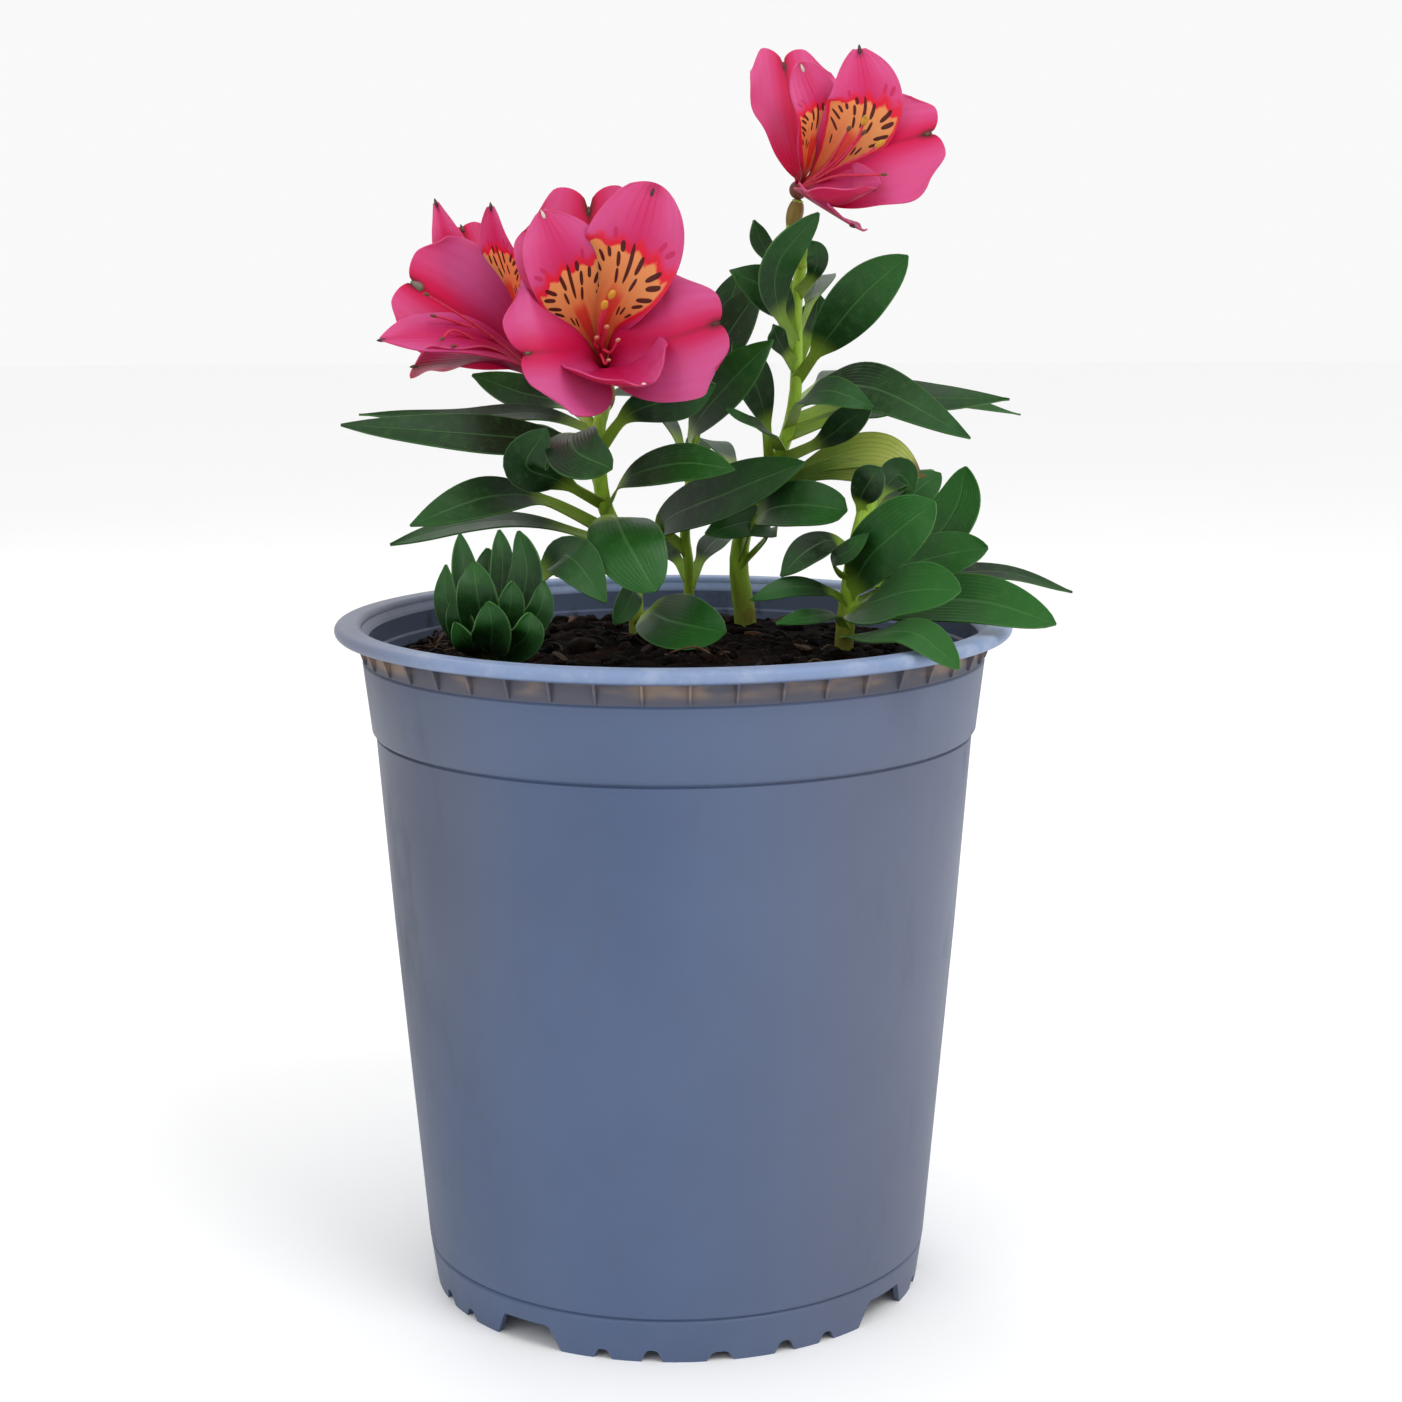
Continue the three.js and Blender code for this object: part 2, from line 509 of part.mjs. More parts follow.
// Blooms. Each tepal leaves the hub, passes through `through` and ends at its tip.
const claw = { stalk: 0.05, steps: 5 };
const outer = {
  ...claw, base: 1.2, point: 0.6, blunt: 0.14, lobes: 0.13, back: 0.1, stalkHalf: 1.4, cells: 4,
};
const narrow = { ...claw, base: 1.2, point: 0.95, blunt: 0.02, stalkHalf: 1.1 };
const inner = { ...claw, base: 1.3, point: 0.7, blunt: 0.06, crown: 0.04, stalkHalf: 1.1 };
const tepal = (through, face, width, shape, more = {}) => ({ through, face, width, ...shape, ...more });

const blooms = {
  centre: {
    hub: [-19, 15, 259.5],
    tepals: [
      tepal([[-20.8, 6, 273.5], [-22.3, 1, 290], [-22.8, 2, 304.4]], [0, -1, 0.2], 42,
        outer, { roll: 0.03, lobes: 0.15 }),
      tepal([[-15, -3, 267.3], [-1, -14, 270], [12, -16, 274]], [-0.3, -0.85, 0.4], 40,
        outer, { lobes: 0.06, back: 0.14, fold: 0.05, roll: 0.08, skew: -0.03 }),
      tepal([[-24.4, -3, 267], [-31, -18, 267], [-38.6, -24, 266.5]], [0.6, -0.55, 0.6], 45,
        outer, { lobes: 0.1, back: 0.1, roll: 0.03 }),
      tepal([[-23.6, 1, 275], [-29, -9, 290.3], [-34.8, -10, 303.4]], [0.25, -0.95, 0.2], 24, narrow),
      tepal([[-19.2, 1, 275.5], [-11, -11, 291.5], [-4.9, -12, 309.2]], [-0.25, -0.95, 0.2], 28, inner),
      tepal([[-17.2, -6, 261.6], [-13, -22, 259], [-7.1, -34, 258.6]], [-0.15, -0.3, 1], 29,
        inner, { fold: 0, cup: 0.5, base: 0.8 }),
    ],
    filaments: [
      [[-19.5, -6, 269.5], [-18.2, -17, 276.5], [-15.9, -22, 282]],
      [[-20, -6, 268.5], [-19.5, -17, 274.5], [-17.9, -22, 279.3]],
      [[-19, -6, 266.5], [-16.5, -17, 266.5], [-14.3, -24, 270]],
      [[-19.6, -6, 265.5], [-18, -18, 263.5], [-16.8, -26, 264.8]],
      [[-20.5, -5, 267], [-21, -13, 268.5], [-20.2, -18, 270.5]],
      [[-19, -7, 268], [-18, -15, 271], [-17.4, -20, 273.4]],
    ],
  },
  left: {
    hub: [-37.5, 20.5, 257.5],
    tepals: [
      tepal([[-50, 12, 263.3], [-61, 3, 263.3], [-71.5, -2, 262.2]], [-0.1, 0.4, 0.9], 19,
        outer, { lobes: 0, back: 0.03, blunt: 0.2 }),
      tepal([[-50, 10, 267.5], [-64, 0, 270.8], [-79.6, -9, 269.7]], [0.2, -0.6, 0.8], 18, narrow),
      tepal([[-47, 18, 267], [-60, 14, 276.7], [-72, 8, 284.7]], [0.3, -0.9, 0.2], 36,
        outer, { lobes: 0.09, back: 0.03, skew: 0.06 }),
      tepal([[-48, 21, 271.5], [-60.5, 19, 288.6], [-66.3, 16, 307]], [0.3, -0.9, 0.3], 14.5,
        narrow, { point: 1.1 }),
      tepal([[-46, 27, 268.7], [-54.5, 31, 282.5], [-60.6, 32, 300]], [0.3, -0.9, 0.3], 15,
        outer, { lobes: 0.02, back: 0.02, blunt: 0.2 }),
      tepal([[-44.8, 20, 277.5], [-48.8, 15, 292.5], [-50.4, 10, 305.8]], [-0.5, -0.8, 0.2], 13.5,
        narrow, { wave: 0.9 }),
    ],
    filaments: [
      [[-51, 10, 266], [-60, 0, 272], [-63, -8, 270]], [[-51, 10, 270], [-60, 0, 277], [-67, -8, 282]],
      [[-50, 12, 265], [-58, 4, 268], [-60, -6, 268]], [[-50, 14, 269], [-60, 6, 274], [-66, 0, 276]],
    ],
  },
  right: {
    hub: [35.1, 8.5, 310],
    tepals: [
      tepal([[34.8, 4, 318], [33.4, 6, 330], [31, 10, 343.5]], [0.5, -0.85, 0.1], 31,
        outer, { lobes: 0.15, back: 0.06, skew: 0.12, base: 1.35 }),
      tepal([[38, -1, 319], [39.8, -6, 330], [35.4, -5, 342]], [0.5, -0.85, 0.1], 15, inner),
      tepal([[44.5, -5, 319], [52, -12, 331.2], [50.6, -10, 346.5]], [-0.1, -0.95, 0.2], 20.5,
        narrow, { point: 0.8 }),
      tepal([[44, -4, 314], [56.6, -12, 320.6], [68.8, -14, 324]], [-0.3, -0.8, 0.5], 36,
        outer, { lobes: 0.09, back: 0.05, skew: 0.14 }),
      tepal([[39.4, -9, 308.6], [45.2, -20, 305.8], [53.9, -27, 309.4]], [-0.1, -0.4, 0.9], 17,
        inner, { cup: 0.8, fold: 0 }),
      tepal([[37.6, -2, 307.3], [42.8, -12, 303.6], [48.6, -19, 299.9]], [0.5, 0, 0.86], 22,
        outer, { lobes: 0 }),
    ],
    filaments: [
      [[43, -12, 316], [49, -23, 322], [51, -28, 327]], [[44, -13, 315], [51, -24, 318], [55, -28, 321]],
      [[44, -14, 313], [51, -24, 313], [56, -30, 313]], [[43, -11, 315], [47, -20, 319], [51, -24, 324]],
      [[42, -10, 316], [45, -20, 321], [47, -26, 325]],
    ],
  },
};

// The point of a stem at a height
function stemPoint(stem, height) {
  const curve = curveThrough(stem.map(vec));
  let [low, high] = [0, 1];
  for (let step = 0; step < 20; step += 1) {
    const middle = (low + high) / 2;
    if (curve.getPoint(middle).z < height) low = middle;
    else high = middle;
  }
  return curve.getPoint(low);
}

// A stem thins upwards: `radii` are spaced evenly from its foot to its end.
function stemTube(stem, radii) {
  const geometry = tubeGeometry(stem.map(vec), radii[0], 6, 8);
  const [foot, end] = [stem[0][2], stem[stem.length - 1][2]];
  const positions = geometry.attributes.position;
  for (let index = 0; index < positions.count; index += 1) {
    const corner = new THREE.Vector3().fromBufferAttribute(positions, index);
    const place = Math.min(Math.max((corner.z - foot) / (end - foot), 0), 1) * (radii.length - 1);
    const before = Math.min(Math.floor(place), radii.length - 2);
    const radius = THREE.MathUtils.lerp(radii[before], radii[before + 1], place - before);
    const middle = stemPoint(stem, corner.z);
    corner.x = middle.x + (corner.x - middle.x) * (radius / radii[0]);
    corner.y = middle.y + (corner.y - middle.y) * (radius / radii[0]);
    positions.setXYZ(index, ...corner);
  }
  return solidOf(geometry);
}

// The ovary swells at the end of a flower stalk, just under the bloom.
function ovary(before, end) {
  const along = end.clone().sub(before).normalize();
  const ball = new THREE.IcosahedronGeometry(1, 1);
  ball.scale(ovaryRadius, 1.5 * ovaryRadius, ovaryRadius);
  const turn = new THREE.Quaternion().setFromUnitVectors(new THREE.Vector3(0, 1, 0), along);
  ball.applyQuaternion(turn);
  const centre = end.clone().addScaledVector(along, -1.4 * ovaryRadius);
  return solidOf(ball.translate(centre.x, centre.y, centre.z));
}

function shootSolid({ stem, radii, stalks, leaves }) {
  const pieces = [stemTube(stem, radii)];
  for (const stalk of stalks) {
    pieces.push(tube(stalk.map(vec), flowerStalk, 6, 5));
    pieces.push(ovary(...stalk.slice(-2).map(vec)));
  }
  for (const { at, through, ...shape } of leaves) {
    const steps = shape.width < smallLeaf ? 4 : 5;
    pieces.push(blade({ path: [stemPoint(stem, at), ...through.map(vec)], steps, ...shape }));
  }
  return fuse(pieces);
}

// Each stem stands in a plain hole.
function soilSolid() {
  const holes = Object.values(shoots).map(({ stem, radii }) => {
    const foot = vec(stem[0]).add(new THREE.Vector3(0, 0, -0.5));
    return tube([foot, ...stem.slice(1).map(vec)], radii[0] + clearance + 0.15, 10);
  });
  return fuse([soilBody(), ...barkChips()]).subtract(fuse(holes));
}

function knob(centre, radius) {
  const ball = new THREE.IcosahedronGeometry(radius, 0);
  return solidOf(ball.translate(...centre));
}

function anther(before, end) {
  const along = end.clone().sub(before).normalize();
  const ball = new THREE.OctahedronGeometry(1, 0);
  ball.scale(antherLength * 0.2, antherLength / 2, antherLength * 0.2);
  ball.applyQuaternion(new THREE.Quaternion().setFromUnitVectors(new THREE.Vector3(0, 1, 0), along));
  return solidOf(ball.translate(end.x, end.y, end.z));
}

// Tepals and filaments leave the hub from just under its skin.
function fromHub(hub, through) {
  const points = through.map(vec);
  const outwards = points[0].clone().sub(vec(hub)).setLength(0.6 * hubRadius);
  return [outwards.add(vec(hub)), ...points];
}

function bloomSolid({ hub, tepals, filaments }) {
  const petals = tepals.map(({ through, ...shape }) => blade({ path: fromHub(hub, through), ...shape }));
  const threads = filaments.map((through) => tube(fromHub(hub, through), filamentRadius, 4, 3));
  const anthers = filaments.map((through) => anther(...through.slice(-2).map(vec)));
  return fuse([knob(hub, hubRadius), ...petals, ...threads, ...anthers]);
}

// The fading leaf of the tall shoot, folded along its length into an upper and a lower half
function fadingLeaf() {
  const root = [30.6, 30.3, 226.5];
  const upper = {
    through: [[46, 21, 235], [59, 15, 237], [70, 12, 231.5]], face: [0, -0.8, 0.6], width: 12, base: 1,
    point: 0.8,
  };
  const lower = {
    through: [[45, 19, 231.5], [59, 12, 231], [71.5, 10, 230.5]], face: [0, -0.95, 0.2], width: 6.5,
    point: 0.9,
  };
  const halves = [upper, lower].map(({ through, ...shape }) => {
    return blade({ path: [vec(root), ...through.map(vec)], ...shape, stalk: 0.05 });
  });
  return fuse(halves);
}

const plant = new THREE.Group();
plant.add(meshOf('pot', pot(), plastic()));
plant.add(meshOf('soil', soilSolid(), earth()));
for (const [name, shoot] of Object.entries(shoots)) {
  plant.add(meshOf(name, shootSolid(shoot), greenLeaf()));
}
plant.add(meshOf('leaf_fading', fadingLeaf(), fadedLeaf()));
for (const [name, bloom] of Object.entries(blooms)) {
  plant.add(meshOf(`bloom_${name}`, bloomSolid(bloom), pinkTepal()));
}

export default plant;
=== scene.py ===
import math
import random
import bpy
import numpy as np
from mathutils import Matrix, Vector, noise


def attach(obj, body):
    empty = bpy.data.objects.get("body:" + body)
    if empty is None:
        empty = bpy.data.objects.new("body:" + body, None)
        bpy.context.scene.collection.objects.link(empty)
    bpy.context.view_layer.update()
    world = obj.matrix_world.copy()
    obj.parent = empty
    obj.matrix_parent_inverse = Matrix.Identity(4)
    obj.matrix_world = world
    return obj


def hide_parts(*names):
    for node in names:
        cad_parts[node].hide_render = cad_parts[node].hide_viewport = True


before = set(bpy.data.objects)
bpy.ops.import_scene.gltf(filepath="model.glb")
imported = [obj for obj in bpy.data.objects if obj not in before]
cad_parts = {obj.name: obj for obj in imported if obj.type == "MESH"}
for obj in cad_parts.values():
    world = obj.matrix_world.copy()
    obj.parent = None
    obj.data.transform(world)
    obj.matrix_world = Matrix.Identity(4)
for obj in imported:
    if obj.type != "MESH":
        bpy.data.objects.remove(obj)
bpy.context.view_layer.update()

mm = 0.001
scene = bpy.context.scene

# The camera stands where the pot's circles put it
cameraLook = {"place": (0.0076, -0.7071, 0.2936), "slopeDown": 0.1763, "roll": -0.0033, "lens": 64.96}

bpy.ops.object.camera_add(location=cameraLook["place"])
camera = bpy.context.object
camera.name = "camera"
camera.data.lens = cameraLook["lens"]
camera.data.sensor_width = 36
camera.data.clip_end = 30
lookDown = Matrix.Rotation(math.radians(90) - cameraLook["slopeDown"], 3, "X")
camera.rotation_euler = (lookDown @ Matrix.Rotation(cameraLook["roll"], 3, "Z")).to_euler()
scene.camera = camera
print("camera stands")


# Small helpers
def clearSelection():
    bpy.ops.object.select_all(action="DESELECT")


def activate(piece):
    clearSelection()
    piece.select_set(True)
    bpy.context.view_layer.objects.active = piece


# Edit mode with the whole piece selected, or with nothing
def startEdit(piece, action="SELECT"):
    activate(piece)
    bpy.ops.object.mode_set(mode="EDIT")
    bpy.ops.mesh.select_all(action=action)


def endEdit():
    bpy.ops.object.mode_set(mode="OBJECT")


def applyModifiers(piece):
    activate(piece)
    for modifier in list(piece.modifiers):
        bpy.ops.object.modifier_apply(modifier=modifier.name)


def bakePlace(piece):
    activate(piece)
    bpy.ops.object.transform_apply(location=True, rotation=True, scale=True)


def joinAll(pieces, name):
    clearSelection()
    for piece in pieces:
        piece.select_set(True)
    bpy.context.view_layer.objects.active = pieces[0]
    if len(pieces) > 1:
        bpy.ops.object.join()
    joined = bpy.context.view_layer.objects.active
    joined.name = name
    joined.data.name = name
    return joined


def copyOf(piece, name):
    twin = piece.copy()
    twin.data = piece.data.copy()
    twin.name = name
    scene.collection.objects.link(twin)
    return twin


def discard(piece):
    bpy.data.objects.remove(piece, do_unlink=True)


def places(piece):
    spots = np.empty(len(piece.data.vertices) * 3)
    piece.data.vertices.foreach_get("co", spots)
    return spots.reshape(-1, 3)


def setPlaces(piece, spots):
    piece.data.vertices.foreach_set("co", np.asarray(spots, dtype=float).ravel())
    piece.data.update()


# Turns points about the origin, then moves them to their place, all in millimetres
def settle(piece, spots, turn, place):
    setPlaces(piece, (spots @ np.array(turn).T + np.array(place)) * mm)


# A value that each point carries for the paint
def mark(piece, name, values):
    layer = piece.data.attributes.new(name, "FLOAT", "POINT")
    values = np.broadcast_to(np.asarray(values, dtype=np.float32), len(piece.data.vertices))
    layer.data.foreach_set("value", values.ravel())
    return piece


def turnOut(piece, merge):
    startEdit(piece)
    bpy.ops.mesh.remove_doubles(threshold=merge)
    bpy.ops.mesh.normals_make_consistent(inside=False)
    endEdit()


def dress(piece, material, slot, *nodes, angle=45):
    piece.data.materials.clear()
    piece.data.materials.append(material)
    activate(piece)
    bpy.ops.object.shade_smooth_by_angle(angle=math.radians(angle))
    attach(piece, "root")
    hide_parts(*nodes)
    return piece


# A socket that takes part in sums
class Wire:
    def __init__(self, tree, socket=None):
        self.tree = tree
        self.socket = socket

    def node(self, kind, settings=None, sockets=None, output=0):
        made = self.tree.nodes.new(kind)
        for name, value in (settings or {}).items():
            setattr(made, name, value)
        for key, value in (sockets or {}).items():
            if isinstance(value, Wire):
                self.tree.links.new(value.socket, made.inputs[key])
            else:
                made.inputs[key].default_value = value
        return Wire(self.tree, made.outputs[output])

    def output(self, key):
        return Wire(self.tree, self.socket.node.outputs[key])

    def maths(self, operation, *values):
        return self.node("ShaderNodeMath", {"operation": operation}, dict(enumerate(values)))

    def __add__(self, other):
        return self.maths("ADD", self, other)

    __radd__ = __add__

    def __sub__(self, other):
        return self.maths("SUBTRACT", self, other)

    def __rsub__(self, other):
        return self.maths("SUBTRACT", other, self)

    def __mul__(self, other):
        return self.maths("MULTIPLY", self, other)

    __rmul__ = __mul__

    def __truediv__(self, other):
        return self.maths("DIVIDE", self, other)

    def __pow__(self, other):
        return self.maths("POWER", self, other)

    def __abs__(self):
        return self.maths("ABSOLUTE", self)

    def wave(self):
        return self.maths("SINE", self)

    def larger(self, other):
        return self.maths("MAXIMUM", self, other)

    def parts(self):
        first = self.node("ShaderNodeSeparateXYZ", sockets={0: self})
        return first, first.output(1), first.output(2)

    def rise(self, low, high):
        settings = {"interpolation_type": "SMOOTHSTEP"}
        return self.node("ShaderNodeMapRange", settings, {0: self, 1: low, 2: high, 3: 0.0, 4: 1.0})

    def fall(self, low, high):
        return 1 - self.rise(low, high)

    def noise(self, scale, detail=3.0, roughness=0.5, stretch=(1, 1, 1)):
        place = self.node("ShaderNodeMapping", sockets={0: self, 3: stretch})
        sockets = {"Vector": place, "Scale": scale, "Detail": detail, "Roughness": roughness}
        return self.node("ShaderNodeTexNoise", sockets=sockets)

    def cells(self, scale):
        return self.node("ShaderNodeTexVoronoi", sockets={"Vector": self, "Scale": scale})

    def tinted(self, start, end):
        sockets = {0: self, 6: start if isinstance(start, Wire) else (*start, 1)}
        sockets[7] = end if isinstance(end, Wire) else (*end, 1)
        return self.node("ShaderNodeMix", {"data_type": "RGBA"}, sockets, output=2)

    def bump(self, distance, strength):
        sockets = {"Height": self, "Distance": distance, "Strength": strength}
        return self.node("ShaderNodeBump", sockets=sockets)

    def named(self, name):
        return self.node("ShaderNodeAttribute", {"attribute_name": name}, output="Fac")


def finish(name, paint, **fixed):
    material = bpy.data.materials.new(name)
    material.use_nodes = True
    tree = material.node_tree
    shader = tree.nodes["Principled BSDF"]
    start = Wire(tree)
    place = start.node("ShaderNodeTexCoord", output="Object")
    for key, value in paint(start, place).items():
        tree.links.new(value.socket, shader.inputs[key])
    for key, value in fixed.items():
        shader.inputs[key.replace("_", " ")].default_value = value
    return material


# Paint laid on in coats: each one is a mask and the name of its colour, or a colour already mixed
def coats(look, first, *layers):
    colour = look[first]
    for mask, coat in layers:
        colour = mask.tinted(colour, look[coat] if isinstance(coat, str) else coat)
    return colour


# Where a point lies on its blade: across from 0 to 1, and along from the root to the tip
def sheetPlace(start):
    return start.node("ShaderNodeTexCoord", output="UV").parts()[:2]


def srgb(red, green, blue):
    bright = [value / 255 for value in (red, green, blue)]
    return tuple(v / 12.92 if v <= 0.04045 else ((v + 0.055) / 1.055) ** 2.4 for v in bright)


# Pot
potSizes = {
    "height": 191.9, "rimRadius": 95, "rimWidth": 7.5, "lipRound": 1.8, "collarTop": 181.4,
    "collarFoot": 160.7, "collarRadius": 87.5, "bodyTop": 84.1, "bodyFoot": 72.2, "skirtTop": 12.4,
    "footRadius": 70.3, "wall": 1.6, "floor": 8, "sectors": 180, "ribs": 46, "ribWidth": 0.8, "ribTurn": 3.2,
    "notchTurn": 10, "drains": 6, "drainRadius": 4.5, "drainRing": 55, "drainDepth": 5,
}
# Notches of the foot: spread in degrees, height, share of it left on top, and the turns in each quarter
notchKinds = [
    (18.6, 7, 0.66, [45]), (7.6, 2.7, 0.42, [0]), (5.6, 3.4, 0.42, [-15, 15]), (5, 2.8, 0.42, [-26, 26]),
]
# The warm colour is painted reflection on the body's sides and painted shade on the lip's left; shade is
# painted shade
potLook = {
    "body": srgb(72, 89, 121), "bodyDeep": srgb(62, 76, 104), "bodyPale": srgb(92, 106, 134),
    "warm": srgb(98, 98, 110), "shade": srgb(44, 48, 62), "lip": srgb(126, 146, 182),
    "lipPale": srgb(164, 176, 200), "dust": srgb(86, 84, 92), "tan": srgb(138, 118, 102),
    "inside": srgb(100, 112, 140), "stain": srgb(42, 36, 32),
}


def arc(radius, height, size, start, end, steps):
    angles = [math.radians(start + (end - start) * step / steps) for step in range(steps + 1)]
    return [(radius + size * math.cos(angle), height + size * math.sin(angle)) for angle in angles]


# Outside up from the floor's middle, over the lip, and down the inside
def potProfile():
    top, rim, lip, wall = (potSizes[key] for key in ("height", "rimRadius", "lipRound", "wall"))
    collar, ledge, step = (potSizes[key] for key in ("collarRadius", "collarTop", "collarFoot"))
    upper, lower, skirt = (potSizes[key] for key in ("bodyTop", "bodyFoot", "skirtTop"))
    foot, floor = potSizes["footRadius"], potSizes["floor"]
    inner, band = collar - wall - 0.3, collar - 0.6
    return [
        (0, 0), (9, 0), (9.4, 0.4), (10.5, floor), (foot - wall + 0.9, floor), (foot - wall, 0), (foot, 0),
        (lower - 0.25, skirt - 0.9), (lower - 0.45, skirt - 0.45), (lower - 0.9, skirt - 0.1),
        (lower - 0.75, skirt + 0.2), (lower, skirt + 0.7), (upper - 4.1, 105), (upper, step - 0.7),
        (upper - 0.55, step - 0.25), (upper - 0.45, step + 0.1), (upper + 0.5, step + 0.45),
        (upper + 1.1, step + 1.3), (collar - 0.1, ledge - 0.4), (collar - 0.35, ledge), (band, ledge + 0.2),
        (band + 0.3, top - 4.9), (rim - 4.5, top - 4.4), *arc(rim - lip, top - lip, lip, -75, 90, 10),
        *arc(rim - potSizes["rimWidth"] + lip, top - lip, lip, 90, 180, 6), (inner, top - 4),
        (inner - 0.1, ledge + 1.2), (inner - 0.8, ledge + 0.6), (upper - wall + 0.8, step + 0.5),
        (upper - wall, step - 1.5), (lower - wall, floor + wall + 1.5), (lower - wall - 1.5, floor + wall),
        (0, floor + wall),
    ]


# A profile drawn point by point, then spun round the pot's middle
def turned(name, profile, sectors):
    clearSelection()
    bpy.ops.mesh.primitive_plane_add(size=2 * mm, location=(0, 0, 0))
    piece = bpy.context.object
    piece.name = name
    startEdit(piece)
    bpy.ops.mesh.merge(type="CENTER")
    radius, height = profile[0]
    bpy.ops.transform.translate(value=(radius * mm, 0, height * mm))
    for nextRadius, nextHeight in profile[1:]:
        step = ((nextRadius - radius) * mm, 0, (nextHeight - height) * mm)
        bpy.ops.mesh.extrude_vertices_move(TRANSFORM_OT_translate={"value": step})
        radius, height = nextRadius, nextHeight
    bpy.ops.mesh.select_all(action="SELECT")
    bpy.ops.mesh.spin(steps=sectors, angle=2 * math.pi, center=(0, 0, 0), axis=(0, 0, 1))
    endEdit()
    turnOut(piece, merge=0.004 * mm)
    return piece


def evenTurns(count, start=0):
    return [start + index * 360 / count for index in range(count)]


# Copies of one block, turned round the pot's middle
def ringOf(block, turns):
    copies = [copyOf(block, block.name) for turn in turns]
    for twin, turn in zip(copies, turns):
        twin.data.transform(Matrix.Rotation(math.radians(turn), 4, "Z"))
    discard(block)
    return copies


def cubeAt(place, size):
    clearSelection()
    bpy.ops.mesh.primitive_cube_add(size=1, location=place, scale=size)
    bakePlace(bpy.context.object)
    return bpy.context.object


# Edit mode with only the chosen corners selected
def pickCorners(piece, chosen):
    startEdit(piece, "DESELECT")
    endEdit()
    for vertex in piece.data.vertices:
        vertex.select = chosen(vertex.co)
    bpy.ops.object.mode_set(mode="EDIT")


# One thin rib of the band under the lip, its lower outer corner drawn back to the collar
def ribBlock():
    low, high = (potSizes["collarTop"] + 0.6) * mm, (potSizes["height"] - 3.9) * mm
    inner, outer = (potSizes["collarRadius"] - 1.3) * mm, (potSizes["rimRadius"] - 5.2) * mm
    middle, level = (inner + outer) / 2, (low + high) / 2
    block = cubeAt((0, -middle, level), (potSizes["ribWidth"] * mm, outer - inner, high - low))
    pickCorners(block, lambda spot: spot.z < level and -spot.y > middle)
    bpy.ops.transform.translate(value=(0, outer - (potSizes["collarRadius"] + 0.1) * mm, 0))
    bpy.ops.mesh.select_all(action="SELECT")
    bpy.ops.mesh.bevel(offset=0.18 * mm, segments=1)
    endEdit()
    return block


# A block that cuts one notch of the foot, narrower and rounded at its top
def notchBlock(spread, height, topShare):
    radius = potSizes["footRadius"] * mm
    half = radius * math.tan(math.radians(spread / 2))
    block = cubeAt((0, -radius, (height - 1) / 2 * mm), (2 * half, 12 * mm, (height + 1) * mm))
    pickCorners(block, lambda spot: spot.z > 0)
    bpy.ops.transform.resize(value=(topShare, 1, 1), center_override=(0, -radius, 0))
    bpy.ops.mesh.bevel(offset=min(half * 0.5, 0.9 * mm), segments=4)
    endEdit()
    return block


def drainBlock():
    place = (0, -potSizes["drainRing"] * mm, (potSizes["floor"] + 0.8) * mm)
    clearSelection()
    bpy.ops.mesh.primitive_cylinder_add(vertices=24, radius=potSizes["drainRadius"] * mm, location=place,
                                        depth=potSizes["drainDepth"] * mm)
    bakePlace(bpy.context.object)
    return bpy.context.object


def cut(piece, cutter, operation="DIFFERENCE"):
    modifier = piece.modifiers.new("cut", "BOOLEAN")
    modifier.operation = operation
    modifier.solver = "EXACT"
    modifier.object = cutter
    applyModifiers(piece)
    discard(cutter)


def makePot():
    shell = turned("pot_shell", potProfile(), potSizes["sectors"])
    ribs = ringOf(ribBlock(), evenTurns(potSizes["ribs"], potSizes["ribTurn"]))
    cutters = ringOf(drainBlock(), evenTurns(potSizes["drains"]))
    for *shape, turns in notchKinds:
        starts = evenTurns(4, potSizes["notchTurn"])
        cutters += ringOf(notchBlock(*shape), [start + turn for start in starts for turn in turns])
    cut(shell, joinAll(cutters, "notches"))
    cut(shell, joinAll(ribs, "ribs"), "UNION")
    turnOut(shell, merge=0.001 * mm)
    return shell


